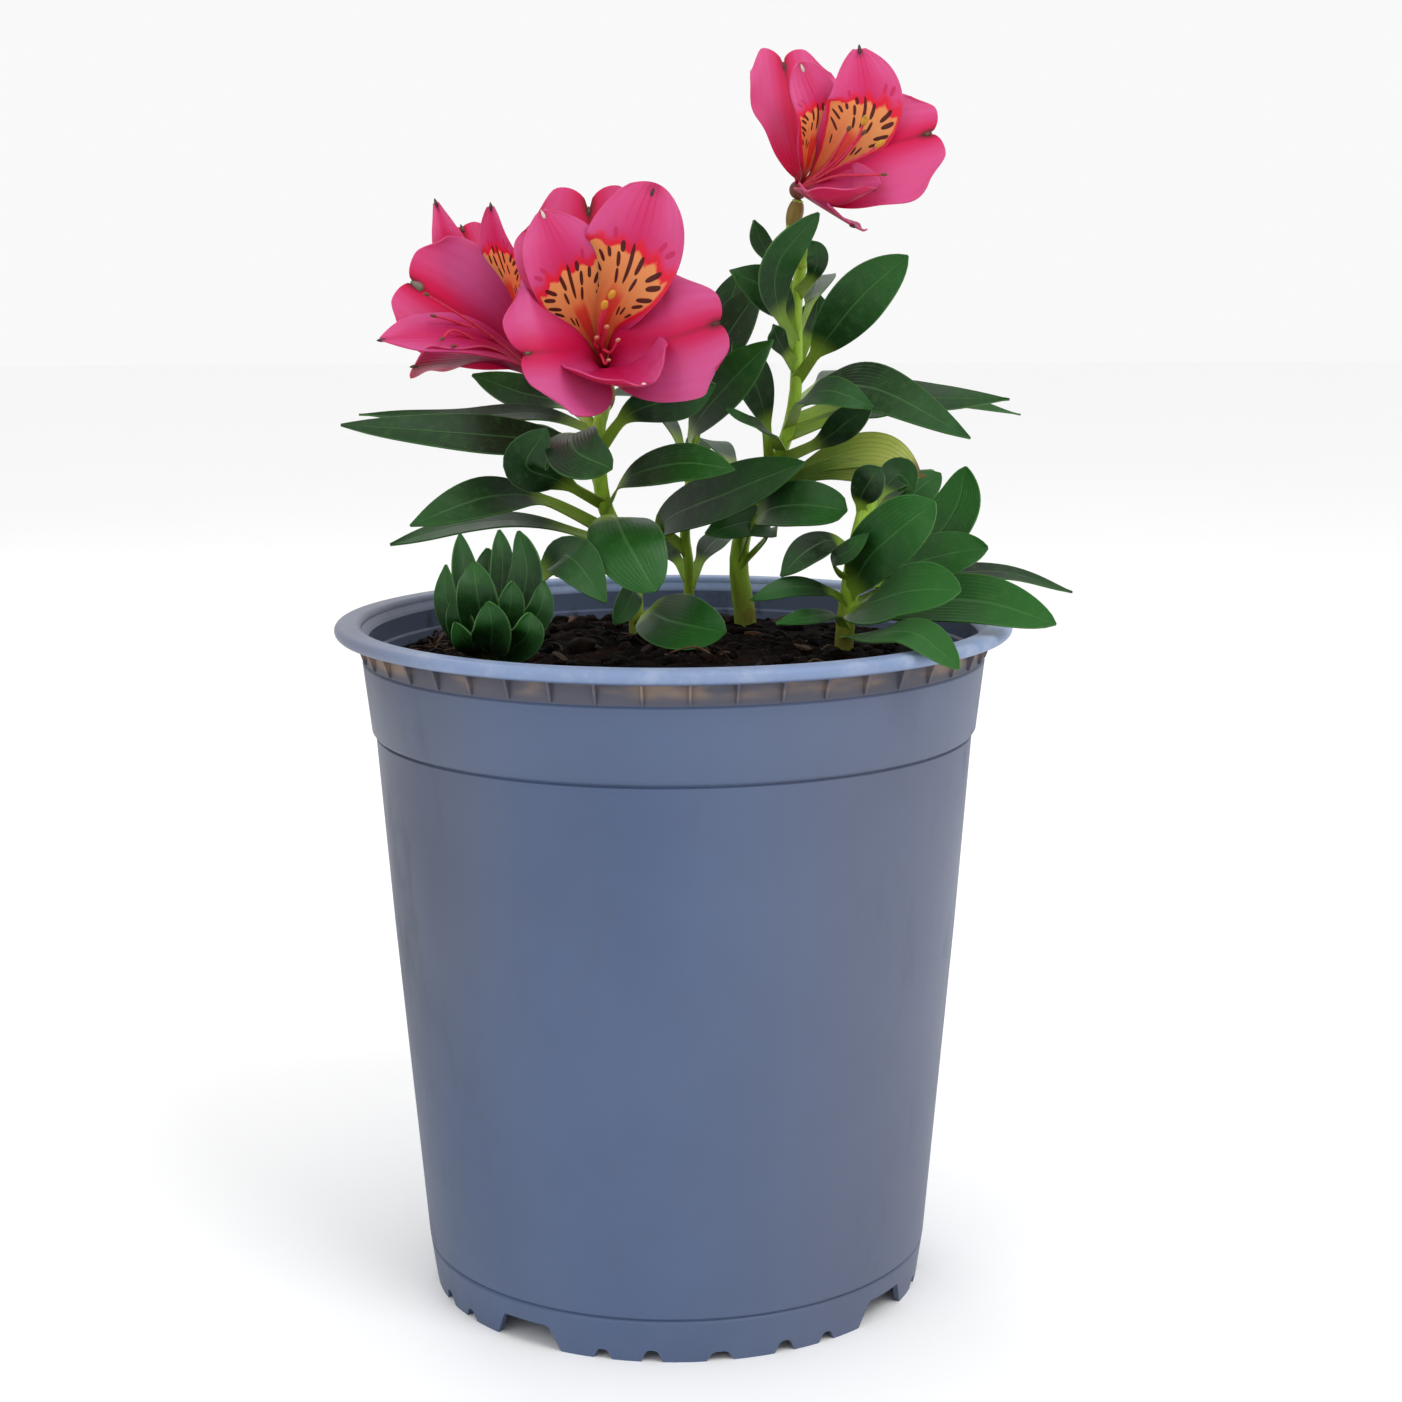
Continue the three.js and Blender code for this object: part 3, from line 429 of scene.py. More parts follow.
def paintPot(start, place):
    x, y, z = place.parts()
    across = (x * x + y * y) ** 0.5
    band = z.rise(0.1812, 0.1822) * z.fall(0.1868, 0.1882) * across.rise(0.0858, 0.0864)
    lip = z.rise(0.1875, 0.1892)
    inside = across.fall(0.0852, 0.0862) * z.rise(0.17, 0.178)
    clouds = place.noise(14, 4, 0.6).rise(0.35, 0.7)
    sweep = place.noise(9, 2, 0.5, (1, 1, 0.25)).rise(0.35, 0.65)
    scuffs = place.noise(60, 6, 0.7, (1, 1, 0.35)).rise(0.52, 0.75)
    speck = place.cells(900).fall(0.05, 0.2) * place.noise(120).rise(0.5, 0.62)
    # Painted reflection (the mask named faded): greys the blue body on its right side and its upper left
    # side, where reflected light shows
    faded = x.rise(0.0, 0.06) * (0.35 + sweep * 0.65) + x.fall(-0.06, -0.03) * z.rise(0.05, 0.13) * 0.8
    patches = place.noise(26, 3, 0.6, (1, 1, 2.4)).rise(0.47, 0.6)
    streaks = place.noise(70, 4, 0.65).rise(0.45, 0.75)
    stain = place.noise(45, 5, 0.7, (1, 1, 0.6)).rise(0.55, 0.68)
    foot = z.fall(0.0, 0.02) * place.noise(70, 4).rise(0.4, 0.7)
    colour = coats(
        # The warm coat over the sides is painted reflection, and the shade coat is painted shade down the
        # left side
        potLook, "body", (clouds * 0.45, "bodyDeep"), (sweep * 0.35, "bodyPale"), (faded * 0.45, "warm"),
        (scuffs * 0.16, "dust"), (speck * 0.25, "bodyPale"), (z.rise(0.16, 0.163) * 0.3, "bodyPale"),
        (x.fall(-0.086, -0.04) * 0.6, "shade"),
        (band * 0.85, coats(potLook, "dust", (patches * z.rise(0.1825, 0.185), "tan"))),
        # On the lip, the warm coat towards the left is painted shade: darker away from the light on the right
        (lip * 0.85, coats(potLook, "lip", (streaks * 0.7, "lipPale"), (x.fall(-0.09, -0.05) * 0.8, "warm"))),
        (inside * 0.8, "inside"), (inside * stain * z.fall(0.183, 0.191) * 0.85, "stain"),
        (foot * 0.25, "bodyPale"),
    )
    roughness = 0.42 + clouds * 0.08 + scuffs * 0.12 + band * 0.15
    grain = place.noise(700, 3, 0.6) + place.noise(160, 2, 0.5) * 0.8
    return {"Base Color": colour, "Roughness": roughness, "Normal": grain.bump(0.06 * mm, 0.6)}


potPlastic = finish("potPlastic", paintPot, Specular_IOR_Level=0.28)
dress(makePot(), potPlastic, "pot", "pot", angle=30)
print("pot turned, notched and ribbed")


# Soil
soilSizes = {
    "radius": 84.3, "level": 179.5, "sides": [(82, 159.2), (68.3, 10.9), (0, 10.9)], "rings": 84,
    "sectors": 200, "mound": 3.4, "crumbs": 420, "crumbSize": (0.9, 2.9), "crumbReach": 81, "rimCrumbs": 76,
    "clods": [(-4, 42, 7), (-12, 50, 5.5), (12, 60, 5), (-26, -6, 4.5), (34, 44, 4.5), (-30, 46, 4)],
    "chips": 46, "chipSize": (3.5, 10), "chipReach": 80, "chipLimit": 83, "stemGap": 9, "seed": 17,
}
fibreSizes = {
    "count": 60, "radii": [0.45, 0.35, 0.15], "length": (6, 15), "rise": (0.8, 4.5), "reach": (5, 76),
    "tangled": 0.6, "tangleReach": (60, 80), "tangleAngle": (2.6, 3.7), "limit": 82, "stemGap": 6,
}
soilLook = {
    "dark": srgb(9, 6, 5), "brown": srgb(34, 22, 17), "rust": srgb(84, 48, 30), "pale": srgb(112, 90, 70),
}


def soilHeight(x, y):
    share = min(math.hypot(x, y) / soilSizes["radius"], 1)
    mound = soilSizes["mound"] * (1 - share**3) * (1 - y / 260 - x / 400)
    lumps = 0.9 * math.sin(x * 0.19 + 1.3) * math.cos(y * 0.23) + 0.6 * math.sin(x * 0.47 - y * 0.41)
    return soilSizes["level"] + mound + lumps * (1 - share**8)


# Crumbs swell the bed by up to a couple of millimetres
def crumbly(x, y):
    spot = Vector((x, y, 3.7))
    coarse = noise.noise(spot * 0.16)
    medium = noise.noise(spot * 0.42 + Vector((9, 4, 0)))
    fine = noise.noise(spot * 1.05 + Vector((2, 8, 0)))
    return 0.9 * coarse + 0.9 * abs(medium) + 0.55 * fine


def makeSoil():
    radius, level, rings = soilSizes["radius"], soilSizes["level"], soilSizes["rings"]
    top = [(radius * step / rings, level) for step in range(rings + 1)]
    bed = turned("soil_bed", top + soilSizes["sides"], soilSizes["sectors"])
    spots = places(bed)
    for spot in spots:
        if spot[2] > (level - 1) * mm:
            x, y = spot[0] / mm, spot[1] / mm
            edge = 1 - min(math.hypot(x, y) / radius, 1) ** 8
            spot[2] = (soilHeight(x, y) + edge * crumbly(x, y)) * mm
    setPlaces(bed, spots)
    return bed


def clearOfStems(x, y, gap):
    feet = [shoot["stem"][1] for shoot in shoots.values()]
    return all(math.hypot(x - foot[0], y - foot[1]) > gap for foot in feet)


def randomSpot(draw, reach):
    angle, radius = draw.uniform(0, 2 * math.pi), reach * math.sqrt(draw.random())
    return radius * math.cos(angle), radius * math.sin(angle), radius


def dents(spots, scale, shift):
    return np.array([noise.noise(Vector(spot) * scale + Vector(shift)) for spot in spots])


# Lumps of compost, each a copy of one ball with its own dents
def makeCrumbs(draw):
    clearSelection()
    bpy.ops.mesh.primitive_ico_sphere_add(subdivisions=2, radius=1)
    ball = bpy.context.object
    crumbs = []
    for index in range(soilSizes["crumbs"]):
        x, y, radius = randomSpot(draw, soilSizes["crumbReach"])
        size = draw.uniform(*soilSizes["crumbSize"]) * (0.6 if radius > soilSizes["rimCrumbs"] else 1)
        if index < len(soilSizes["clods"]):
            x, y, size = soilSizes["clods"][index]
        crumb = copyOf(ball, "crumb")
        rough = 1 + 0.55 * dents(places(crumb), 1.3, (index * 1.7, index * 0.9, 5))
        squash = np.array([1, draw.uniform(0.6, 1), draw.uniform(0.45, 0.8)])
        spots = places(crumb) * rough[:, None] * squash * size
        turn = Matrix.Rotation(draw.uniform(0, 6.28), 3, "Z")
        settle(crumb, spots, turn, (x, y, soilHeight(x, y) + 0.25 * size))
        crumbs.append(mark(crumb, "tone", draw.random()))
    discard(ball)
    return joinAll(crumbs, "soil_crumbs")


# Splinters of bark lie half sunk, some of them tilted up
def makeBark(draw):
    clearSelection()
    bpy.ops.mesh.primitive_cube_add(size=2)
    block = bpy.context.object
    startEdit(block)
    bpy.ops.mesh.subdivide(number_cuts=2)
    endEdit()
    chips = []
    while len(chips) < soilSizes["chips"]:
        x, y, radius = randomSpot(draw, soilSizes["chipReach"])
        size = draw.uniform(*soilSizes["chipSize"])
        if not clearOfStems(x, y, soilSizes["stemGap"]) or radius + size * 0.6 > soilSizes["chipLimit"]:
            continue
        chip = copyOf(block, "chip")
        length, width, depth = places(chip).T
        taper = 1 - 0.55 * np.abs(length)
        rough = dents(places(chip), 1.1, (len(chips) * 2.3, 7, 1))
        spots = np.column_stack([length + 0.25 * rough, width * taper + 0.3 * rough, depth * taper])
        spots *= np.array([size / 2, draw.uniform(0.7, 1.7), draw.uniform(0.35, 0.8)])
        heading = Matrix.Rotation(draw.uniform(0, 6.28), 3, "Z")
        tilt = Matrix.Rotation(draw.uniform(-0.35, 0.35), 3, "Y")
        settle(chip, spots, heading @ tilt, (x, y, soilHeight(x, y) + 0.9))
        chips.append(mark(chip, "tone", draw.random()))
    discard(block)
    return joinAll(chips, "soil_bark")


# Dry root fibres, most of them in a tangle by the left of the rim
def makeFibres(draw):
    strands = []
    while len(strands) < fibreSizes["count"]:
        tangled = draw.random() < fibreSizes["tangled"]
        angle = draw.uniform(*(fibreSizes["tangleAngle"] if tangled else (0, 2 * math.pi)))
        radius = draw.uniform(*fibreSizes["tangleReach" if tangled else "reach"])
        heading = draw.uniform(0, 2 * math.pi)
        length, rise = draw.uniform(*fibreSizes["length"]), draw.uniform(*fibreSizes["rise"])
        spots = []
        for part, lift in ((0, -0.8), (0.5, rise), (1, rise * draw.uniform(0.1, 1))):
            x = radius * math.cos(angle) + length * part * math.cos(heading + part * 0.6)
            y = radius * math.sin(angle) + length * part * math.sin(heading + part * 0.6)
            spots.append((x, y, soilHeight(x, y) + lift))
        reach = max(math.hypot(x, y) for x, y, z in spots)
        if reach > fibreSizes["limit"] or not clearOfStems(*spots[0][:2], fibreSizes["stemGap"]):
            continue
        strand = stemTube("fibre", spots, fibreSizes["radii"], sides=1, steps=7)
        strands.append(mark(strand, "tone", draw.random()))
    return joinAll(strands, "soil_fibres")


def paintSoil(start, place):
    coarse = place.noise(90, 5, 0.65)
    fine = place.noise(600, 6, 0.7)
    grit = place.cells(1100)
    pale = grit.fall(0.0, 0.2) * place.noise(240).rise(0.55, 0.7)
    colour = coats(soilLook, "dark", (coarse.rise(0.42, 0.72), "brown"),
                   (fine.rise(0.55, 0.75) * 0.45, "rust"), (pale * 0.5, "pale"))
    height = fine + coarse * 0.7 + grit * 0.5
    return {"Base Color": colour, "Roughness": 0.72 + fine * 0.25, "Normal": height.bump(0.9 * mm, 0.9)}


def paintCrumbs(start, place):
    fine = place.noise(700, 5, 0.65)
    tone = (start.named("tone") * 0.8 + fine * 0.2).rise(0.45, 1.0)
    colour = coats(soilLook, "dark", (tone, "brown"), (fine.rise(0.55, 0.8) * 0.4, "rust"))
    return {"Base Color": colour, "Roughness": 0.7 + fine * 0.25, "Normal": fine.bump(0.4 * mm, 0.8)}


def paintBark(start, place):
    tone = start.named("tone")
    grain = place.noise(420, 5, 0.7, (1, 1, 3))
    pale = (tone * 0.7 + grain * 0.3).rise(0.35, 0.95)
    colour = coats(soilLook, "brown", (pale, "pale"), (grain.rise(0.45, 0.7) * 0.6, "dark"),
                   (tone.rise(0.8, 0.9) * 0.5, "rust"))
    return {"Base Color": colour, "Roughness": 0.65 + grain * 0.3, "Normal": grain.bump(0.4 * mm, 0.8)}


# Leaves and tepals: one sheet is bent along a curved midrib. `face` is the way its upper side looks
# at the root and `faceTip` at the tip, `stalk` is the share that is petiole or claw, `base` and `point`
# shape the outline and `blunt` cuts it short. `fold` and `cup` raise the edges, `roll` turns them
# back and `wave` ruffles them. `crown` rounds a blunt end, `lobes` parts it round a notch and `back`
# draws its corners in. `skew` widens one half.
bladeSizes = {
    "leafGrid": (14, 30), "tepalGrid": (32, 44), "leafThickness": 0.5, "tepalThickness": 0.45,
    "stalkHalf": 1.9, "tipHalf": 0.28, "stalkRadii": [1.6, 1.4, 1.4, 1.6], "ovaryLength": 9,
    "ovaryRadius": 2.3, "leafSeed": 5,
}


def curveAt(points, share):
    spots = np.asarray(points, dtype=float)
    spans = len(spots) - 1
    ends = np.vstack([2 * spots[0] - spots[1], spots, 2 * spots[-1] - spots[-2]])
    reach = np.clip(share * spans, 0, spans - 1e-6)
    span = np.floor(reach).astype(int)
    part = (reach - span)[:, None]
    a, b, c, d = ends[span], ends[span + 1], ends[span + 2], ends[span + 3]
    first, second, third = c - a, 2 * a - 5 * b + 4 * c - d, 3 * b - a - 3 * c + d
    centre = 0.5 * (2 * b + first * part + second * part**2 + third * part**3)
    ahead = 0.5 * (first + 2 * second * part + 3 * third * part**2)
    return centre, ahead / np.linalg.norm(ahead, axis=1)[:, None]


def unit(rows):
    return rows / np.linalg.norm(rows, axis=1)[:, None]


def bladeSpots(across, along, path, face, width, faceTip=None, stalk=0, base=0.9, point=1.1, blunt=0,
               fold=0.08, cup=0.04, roll=0, wave=0, waves=2, phase=0, crown=0, lobes=0, back=0, skew=0,
               stalkHalf=bladeSizes["stalkHalf"]):
    centre, ahead = curveAt(path, along)
    steps = curveAt(path, np.linspace(0, 1, 60))[0]
    length = np.linalg.norm(np.diff(steps, axis=0), axis=1).sum()
    lookTip = np.array(faceTip or face, dtype=float)
    look = np.array(face, dtype=float) * (1 - along[:, None]) + lookTip * along[:, None]
    side = unit(np.cross(ahead, look))
    up = unit(np.cross(side, ahead))
    share = np.clip((along - stalk) / (1 - stalk), 0, 1)
    widest = base / (base + point)
    peak = widest**base * (1 - widest) ** point
    grown = share * (1 - blunt)
    outline = grown**base * (1 - grown) ** point / peak
    least = stalkHalf * (1 - along) + bladeSizes["tipHalf"] * along
    half = ((width / 2 * outline) ** 3 + least**3) ** (1 / 3)
    half = half * (1 + skew * across)
    edge = np.abs(across)
    ruffle = wave * np.sin(2 * math.pi * waves * along + np.sign(across) + phase) * edge**1.5 * share
    soft = np.sqrt(edge**2 + 0.04) - 0.2
    lift = half * (fold * soft + cup * edge**2 - roll * edge**5) + ruffle
    inward = np.sqrt(np.clip(1 - (2 * edge - 1) ** 2, 0, 1))
    swell = np.where(edge < 0.5, inward, 0.5 - 0.5 * np.cos(2 * math.pi * edge))
    reach = (crown * (1 - edge**2) + lobes * swell - back * edge**3) * length * share**5
    return centre + side * (half * across)[:, None] + up * lift[:, None] + ahead * reach[:, None]


def sheetOf(columns, rows):
    clearSelection()
    bpy.ops.mesh.primitive_grid_add(x_subdivisions=columns, y_subdivisions=rows, size=2)
    return bpy.context.object


def growBlade(sheet, name, shape, **marks):
    piece = copyOf(sheet, name)
    flat = places(piece)
    across, along = flat[:, 0], (flat[:, 1] + 1) / 2
    setPlaces(piece, bladeSpots(across, along, **shape) * mm)
    stalk = shape.get("stalk", 0)
    mark(piece, "share", np.clip((along - stalk) / (1 - stalk), 0, 1))
    for key, value in marks.items():
        mark(piece, key, value)
    return piece


# A skin on both sides; the under side is marked so that it can have its own colour
def thicken(piece, thickness):
    count = len(piece.data.vertices)
    skin = piece.modifiers.new("skin", "SOLIDIFY")
    skin.thickness = thickness * mm
    skin.offset = 0
    applyModifiers(piece)
    under = np.zeros(len(piece.data.vertices))
    under[count:] = 1
    mark(piece, "under", under)
    return piece


def stemTube(name, points, radii, sides=3, steps=28):
    shares = np.linspace(0, 1, steps + 1)
    spots = curveAt(points, shares)[0] * mm
    sizes = np.interp(shares, np.linspace(0, 1, len(radii)), radii)
    line = bpy.data.curves.new(name, "CURVE")
    line.dimensions = "3D"
    line.bevel_depth = mm
    line.bevel_resolution = sides
    line.use_fill_caps = True
    spline = line.splines.new("POLY")
    spline.points.add(steps)
    for knot, spot, size in zip(spline.points, spots, sizes):
        knot.co = (*spot, 1)
        knot.radius = size
    piece = bpy.data.objects.new(name, line)
    scene.collection.objects.link(piece)
    activate(piece)
    bpy.ops.object.convert(target="MESH")
    return bpy.context.object


def stemPoint(stem, height):
    shares = np.linspace(0, 1, 400)
    spots = curveAt(stem, shares)[0]
    return spots[np.argmin(np.abs(spots[:, 2] - height))]


# A ball drawn out between two points, with shallow ribs along it
def pod(name, start, end, radius, ribs=0, depth=0.0, taper=0.0, segments=20, rings=12):
    start, end = Vector(start), Vector(end)
    clearSelection()
    bpy.ops.mesh.primitive_uv_sphere_add(segments=segments, ring_count=rings, radius=1)
    piece = bpy.context.object
    piece.name = name
    spots = places(piece)
    angle = np.arctan2(spots[:, 1], spots[:, 0])
    girth = radius * (1 + depth * np.cos(ribs * angle)) * (1 - taper * spots[:, 2])
    spots *= np.column_stack([girth, girth, np.full(len(spots), (end - start).length / 2)])
    settle(piece, spots, (end - start).to_track_quat("Z", "Y").to_matrix(), (start + end) / 2)
    return piece


# A pod across the end of a path
def endPod(name, path, before, beyond, radius, **more):
    centre, ahead = (rows[0] for rows in curveAt(path, np.array([1.0])))
    return pod(name, centre - ahead * before, centre + ahead * beyond, radius, **more)


# The points that a blade passes through after its root, the way it faces, its width and its outline
def bladeRow(through, face, width, shape, **more):
    return {"through": through, "face": face, "width": width, **shape, **more}


# A leaf leaves its stem at this height
def leafRow(at, *row, **more):
    return bladeRow(*row, at=at, **more)


# An outline with its own path, and with a ruffle drawn for it
def ruffled(row, path, marks, draw, wave, waves):
    shape = {key: value for key, value in row.items() if key not in ("through", *marks)}
    shape["path"] = path
    shape.setdefault("wave", draw.uniform(*wave))
    shape["waves"] = draw.uniform(*waves)
    shape["phase"] = draw.uniform(0, 6)
    return shape


long = {"base": 1.1, "point": 1.1, "stalk": 0.06}
stalked = {"base": 1.1, "point": 0.95, "stalk": 0.22}
broad = {"base": 0.9, "point": 0.75, "stalk": 0.2}
rounded = {"base": 0.6, "point": 0.6, "stalk": 0.2}
bud = {"base": 0.9, "point": 0.8, "cup": 0.22, "stalkHalf": 1.4, "tone": 0.3}
fresh = {"base": 0.8, "point": 0.7, "stalk": 0.05, "tone": 0.75}

shoots = {
    "shoot_a": {
        "stem": [
            [-11, 28, 168], [-11, 28, 182], [-13, 22, 205], [-20, 14, 223], [-21, 8, 242], [-20, 11, 249],
        ],
        "radii": [2.5, 2.4, 2.3, 2.1, 1.9],
        "stalks": [
            [[-20, 11, 247], [-19, 18.5, 251], [-19, 17, 257]],
            [[-21, 8, 242], [-26, 15, 249], [-31, 18.5, 252], [-35.6, 19.8, 254.9]],
        ],
        "leaves": [
            leafRow(238, [[-36, 0, 241.5], [-56, -8, 244], [-90.5, -14, 247]], [0, -0.8, 0.5], 12, long,
                point=0.85, tone=0),
            leafRow(243, [[-38, 14, 248], [-60, 10, 247.5], [-88, 5, 248.5]], [0, -0.45, 0.9], 9, long,
                tone=0.1),
            leafRow(222, [[-31.5, -6, 231], [-40, -14, 236], [-34, -18, 246]], [-0.2, -0.95, -0.1], 13,
                broad, tone=0.05),
            leafRow(241, [[-27, -10, 244], [-25.5, -24, 240], [-16, -30, 236]], [-0.25, -0.75, 0.5], 16,
                rounded, tone=0),
            leafRow(212, [[-36.5, 4, 224.5], [-51, -8, 226.5], [-71.5, -20, 220]], [0, -0.75, 0.65], 14,
                stalked, stalk=0.3, stalkHalf=2.6, tone=0.15),
            leafRow(209, [[-39, 22, 216], [-59, 20, 216], [-81, 12, 211]], [0, -0.35, 0.95], 11, stalked,
                stalk=0.15, stalkHalf=2.4, tone=0.2),
            leafRow(213, [[-16, -6, 220.5], [-12, -21, 214.5], [-4.5, -27, 202.5]], [0.1, -0.95, 0.3],
                20.5, rounded, base=0.55, stalk=0.28, cup=-0.15, tone=0.6),
            leafRow(193, [[-11, 4, 199], [-13, -4, 196], [-16.5, -9, 191]], [0.4, -0.85, 0.3], 7.5,
                broad),
            leafRow(187, [[-7, 6, 192], [1, -9, 191.5], [14.5, -18.5, 190]], [0, -0.9, 0.4], 17.5,
                rounded, stalk=0.26, tone=0.5),
            leafRow(220, [[-13, -4, 231], [2, -14, 236], [17, -21, 235]], [0, -0.8, 0.6], 13, stalked,
                tone=0.35),
            leafRow(244, [[-32, 30, 250], [-45, 36, 253], [-59, 38, 258]], [0.2, -0.8, 0.5], 12, stalked,
                tone=0.3),
            leafRow(238, [[-12, -2, 249], [2, -6, 254], [12, -4, 257]], [0, -0.9, -0.3], 13, stalked),
            leafRow(226, [[-26, 34, 236], [-36, 50, 240], [-50, 62, 236]], [0, 0.5, 0.9], 13, stalked),
        ],
    },
    "shoot_b": {
        "stem": [[3, 50, 168], [4, 50, 189], [4, 46, 201], [3, 42, 212], [5, 38, 230], [6, 35, 243]],
        "radii": [1.7, 1.6, 1.5, 1.4],
        "leaves": [
            leafRow(205, [[-3, 34, 215], [16, 16, 225.5], [37, 2, 235]], [-0.2, -0.85, 0.5], 16.5, broad,
                base=1, point=0.8, stalk=0.18, tone=0.25),
            leafRow(238, [[9, 40, 257], [17, 39, 271], [26, 34, 284]], [-0.5, -0.8, 0.1], 14, stalked),
            leafRow(234, [[6, 20, 244], [16, 8, 257], [28, 2, 269]], [-0.4, -0.85, 0.3], 14, stalked),
            leafRow(240, [[8, 50, 262], [16, 56, 277], [20, 58, 288]], [-0.2, -0.95, 0], 11, stalked),
            leafRow(196, [[0, 54, 202], [-8, 62, 207], [-16, 68, 212]], [0, -0.6, 0.8], 8, stalked),
            leafRow(194, [[8, 56, 202], [12, 64, 206], [18, 72, 208]], [0, -0.6, 0.8], 8, stalked),
            leafRow(226, [[0, 52, 240], [-10, 66, 250], [-20, 74, 250]], [0, 0.4, 0.9], 12, stalked),
        ],
    },
    "shoot_c": {
        "stem": [
            [21, 48, 168], [21, 48, 184], [19, 42, 203], [23, 34, 221], [31, 28, 236], [35, 22, 254],
            [35, 16, 280], [37, 10, 294],
        ],
        "radii": [3.7, 3.5, 2.9, 2.3, 2, 1.8, 1.7, 1.6],
        "stalks": [[[36.5, 12, 289], [34, 10, 293], [32.8, 9, 298], [35, 8.5, 307.2]]],
        "leaves": [
            leafRow(200, [[28, 27, 213], [21, 23, 216], [9, 19, 213]], [0, -0.7, 0.7], 12, stalked,
                wave=0.8),
            leafRow(203, [[24.5, 14, 219], [35, 2, 223], [48.5, -4, 222]], [-0.1, -0.85, 0.5], 14.5,
                rounded, base=0.5, point=0.45, stalk=0.3, cup=0.15, tone=0.4),
            leafRow(257, [[42.5, 6, 268.5], [52, -5, 281], [64, -12, 292]], [0.3, -0.85, 0.4], 15, broad,
                tone=0.5),
            leafRow(262, [[39, 24, 270], [41, 28, 275], [42, 30, 281]], [-0.1, -1, 0], 9.5, stalked),
            leafRow(260, [[30, 10, 268], [28, 4, 273]], [0.2, -0.9, 0.1], 6, stalked),
            leafRow(248, [[43, 8, 255], [57, -6, 255.5], [81, -18, 243]], [0, -0.8, 0.6], 16, long,
                point=0.9, tone=0.15),
            leafRow(243, [[36, -6, 253], [43, -20, 256], [54, -24, 252]], [0, -0.85, 0.5], 9.5, stalked),
            leafRow(245, [[57, 36, 252], [78, 42, 250.5], [99, 44, 250]], [0, -0.8, 0.6], 10, long),
            leafRow(241, [[58, 50, 250], [83, 62, 249], [105, 66, 244]], [0, -0.7, 0.7], 6, long),
            leafRow(240, [[48, 25, 246], [59, 22, 248], [69, 16, 249]], [0, -0.6, 0.8], 6, stalked),
            leafRow(233, [[42, 14, 240], [49, 7, 246], [56, 2, 251]], [0.3, -0.85, 0.3], 9, stalked),
            leafRow(236, [[28, 12, 242], [22, 5, 246], [15, 0, 250]], [0, -0.6, 0.8], 6, stalked),
            leafRow(264, [[32, 12, 276], [26, 6, 283], [16, 4, 288]], [0.1, -0.9, 0.3], 12, stalked,
                wave=1),
            leafRow(266, [[29, 2, 279], [29.5, -6, 291], [40, -9, 303.5]], [0.5, -0.8, -0.2], 12, broad),
            leafRow(280, [[29, 20, 290], [25, 22, 296], [23, 22, 302]], [0.3, -0.9, 0], 6, stalked),
            leafRow(281, [[39, 2, 287], [40, -1, 292], [38, -2, 296]], [0, -1, 0.1], 6, broad),
            leafRow(230, [[26, 18, 247], [22, 14, 259], [17, 12, 268]], [0.4, -0.85, 0.2], 12, stalked),
            leafRow(250, [[44, 40, 256], [52, 58, 258], [60, 72, 252]], [0, 0.4, 0.9], 12, stalked),
            leafRow(222, [[16, 56, 232], [10, 72, 236], [4, 84, 230]], [0, 0.5, 0.9], 12, stalked),
            leafRow(268, [[40, 30, 280], [42, 44, 286], [40, 56, 284]], [0, 0.5, 0.9], 11, stalked),
        ],
    },
    "shoot_d": {
        "stem": [[48, 0, 168], [48, 0, 182], [49, -4, 197], [51, -6, 211], [54, -6, 224], [56, -4, 230]],
        "radii": [2.9, 2.8, 2.6, 2.3],
        "leaves": [
            leafRow(196, [[42, -14, 201], [32, -22, 203], [21, -26, 200]], [0, -0.8, 0.6], 6.5, stalked),
            leafRow(188, [[45, -14, 194], [37, -24, 195], [28, -29, 194]], [0, -0.6, 0.8], 6, stalked),
            leafRow(202, [[44, -18, 209.5], [48, -23, 213], [53, -25, 218]], [-0.4, -0.8, 0.4], 6,
                stalked),
            leafRow(208, [[44.5, -12, 214.5], [37, -18, 212.5], [29.5, -22, 206]], [-0.3, -0.8, 0.5], 10,
                stalked, tone=0),
            leafRow(197, [[53, -20, 210], [62, -28, 220], [70.5, -32, 227]], [-0.3, -0.85, 0.25], 17.5,
                fresh),
            leafRow(204, [[70, 6, 210], [80, 9, 221], [83, 11, 233]], [-0.4, -0.85, 0.2], 15, fresh),
            leafRow(208, [[62, 14, 217], [70, 20, 225], [77, 24, 230]], [-0.4, -0.8, 0.3], 12, fresh),
            leafRow(200, [[65.5, 0, 206], [77.5, -1, 209.5], [88, -3, 211.5]], [0, -0.85, 0.5], 14,
                fresh),
            leafRow(193, [[54, -26, 199], [64, -42, 204.5], [75.5, -52, 206]], [-0.2, -0.75, 0.65], 19,
                fresh),
            leafRow(192, [[66, -18, 198.5], [84, -31, 200], [102, -42, 195.5]], [0, -0.75, 0.65], 17,
                fresh),
            leafRow(195, [[70, 10, 201], [94, 16, 202], [115, 18, 196]], [0, -0.5, 0.85], 8, long),
            leafRow(186, [[53, -40, 192.5], [63, -63, 196], [72.5, -80, 190]], [0, -0.7, 0.75], 12.5,
                fresh),
            leafRow(220, [[52, -10, 226], [54, -14, 231], [57, -15, 235]], [-0.3, -0.9, 0.2], 10, broad),
            leafRow(222, [[60, 4, 228], [64, 8, 231], [68, 6, 227]], [-0.2, -0.9, 0.3], 10, broad),
            leafRow(214, [[60, 14, 224], [68, 32, 230], [78, 44, 226]], [0.3, 0.4, 0.9], 13, stalked),
            leafRow(200, [[58, 18, 208], [66, 38, 210], [72, 54, 204]], [0.2, 0.3, 0.95], 13, stalked),
        ],
    },
    "shoot_e": {
        "stem": [[-49, -28, 168], [-49, -28, 184], [-49, -28, 194]],
        "radii": [3, 3, 2.6],
        "leaves": [
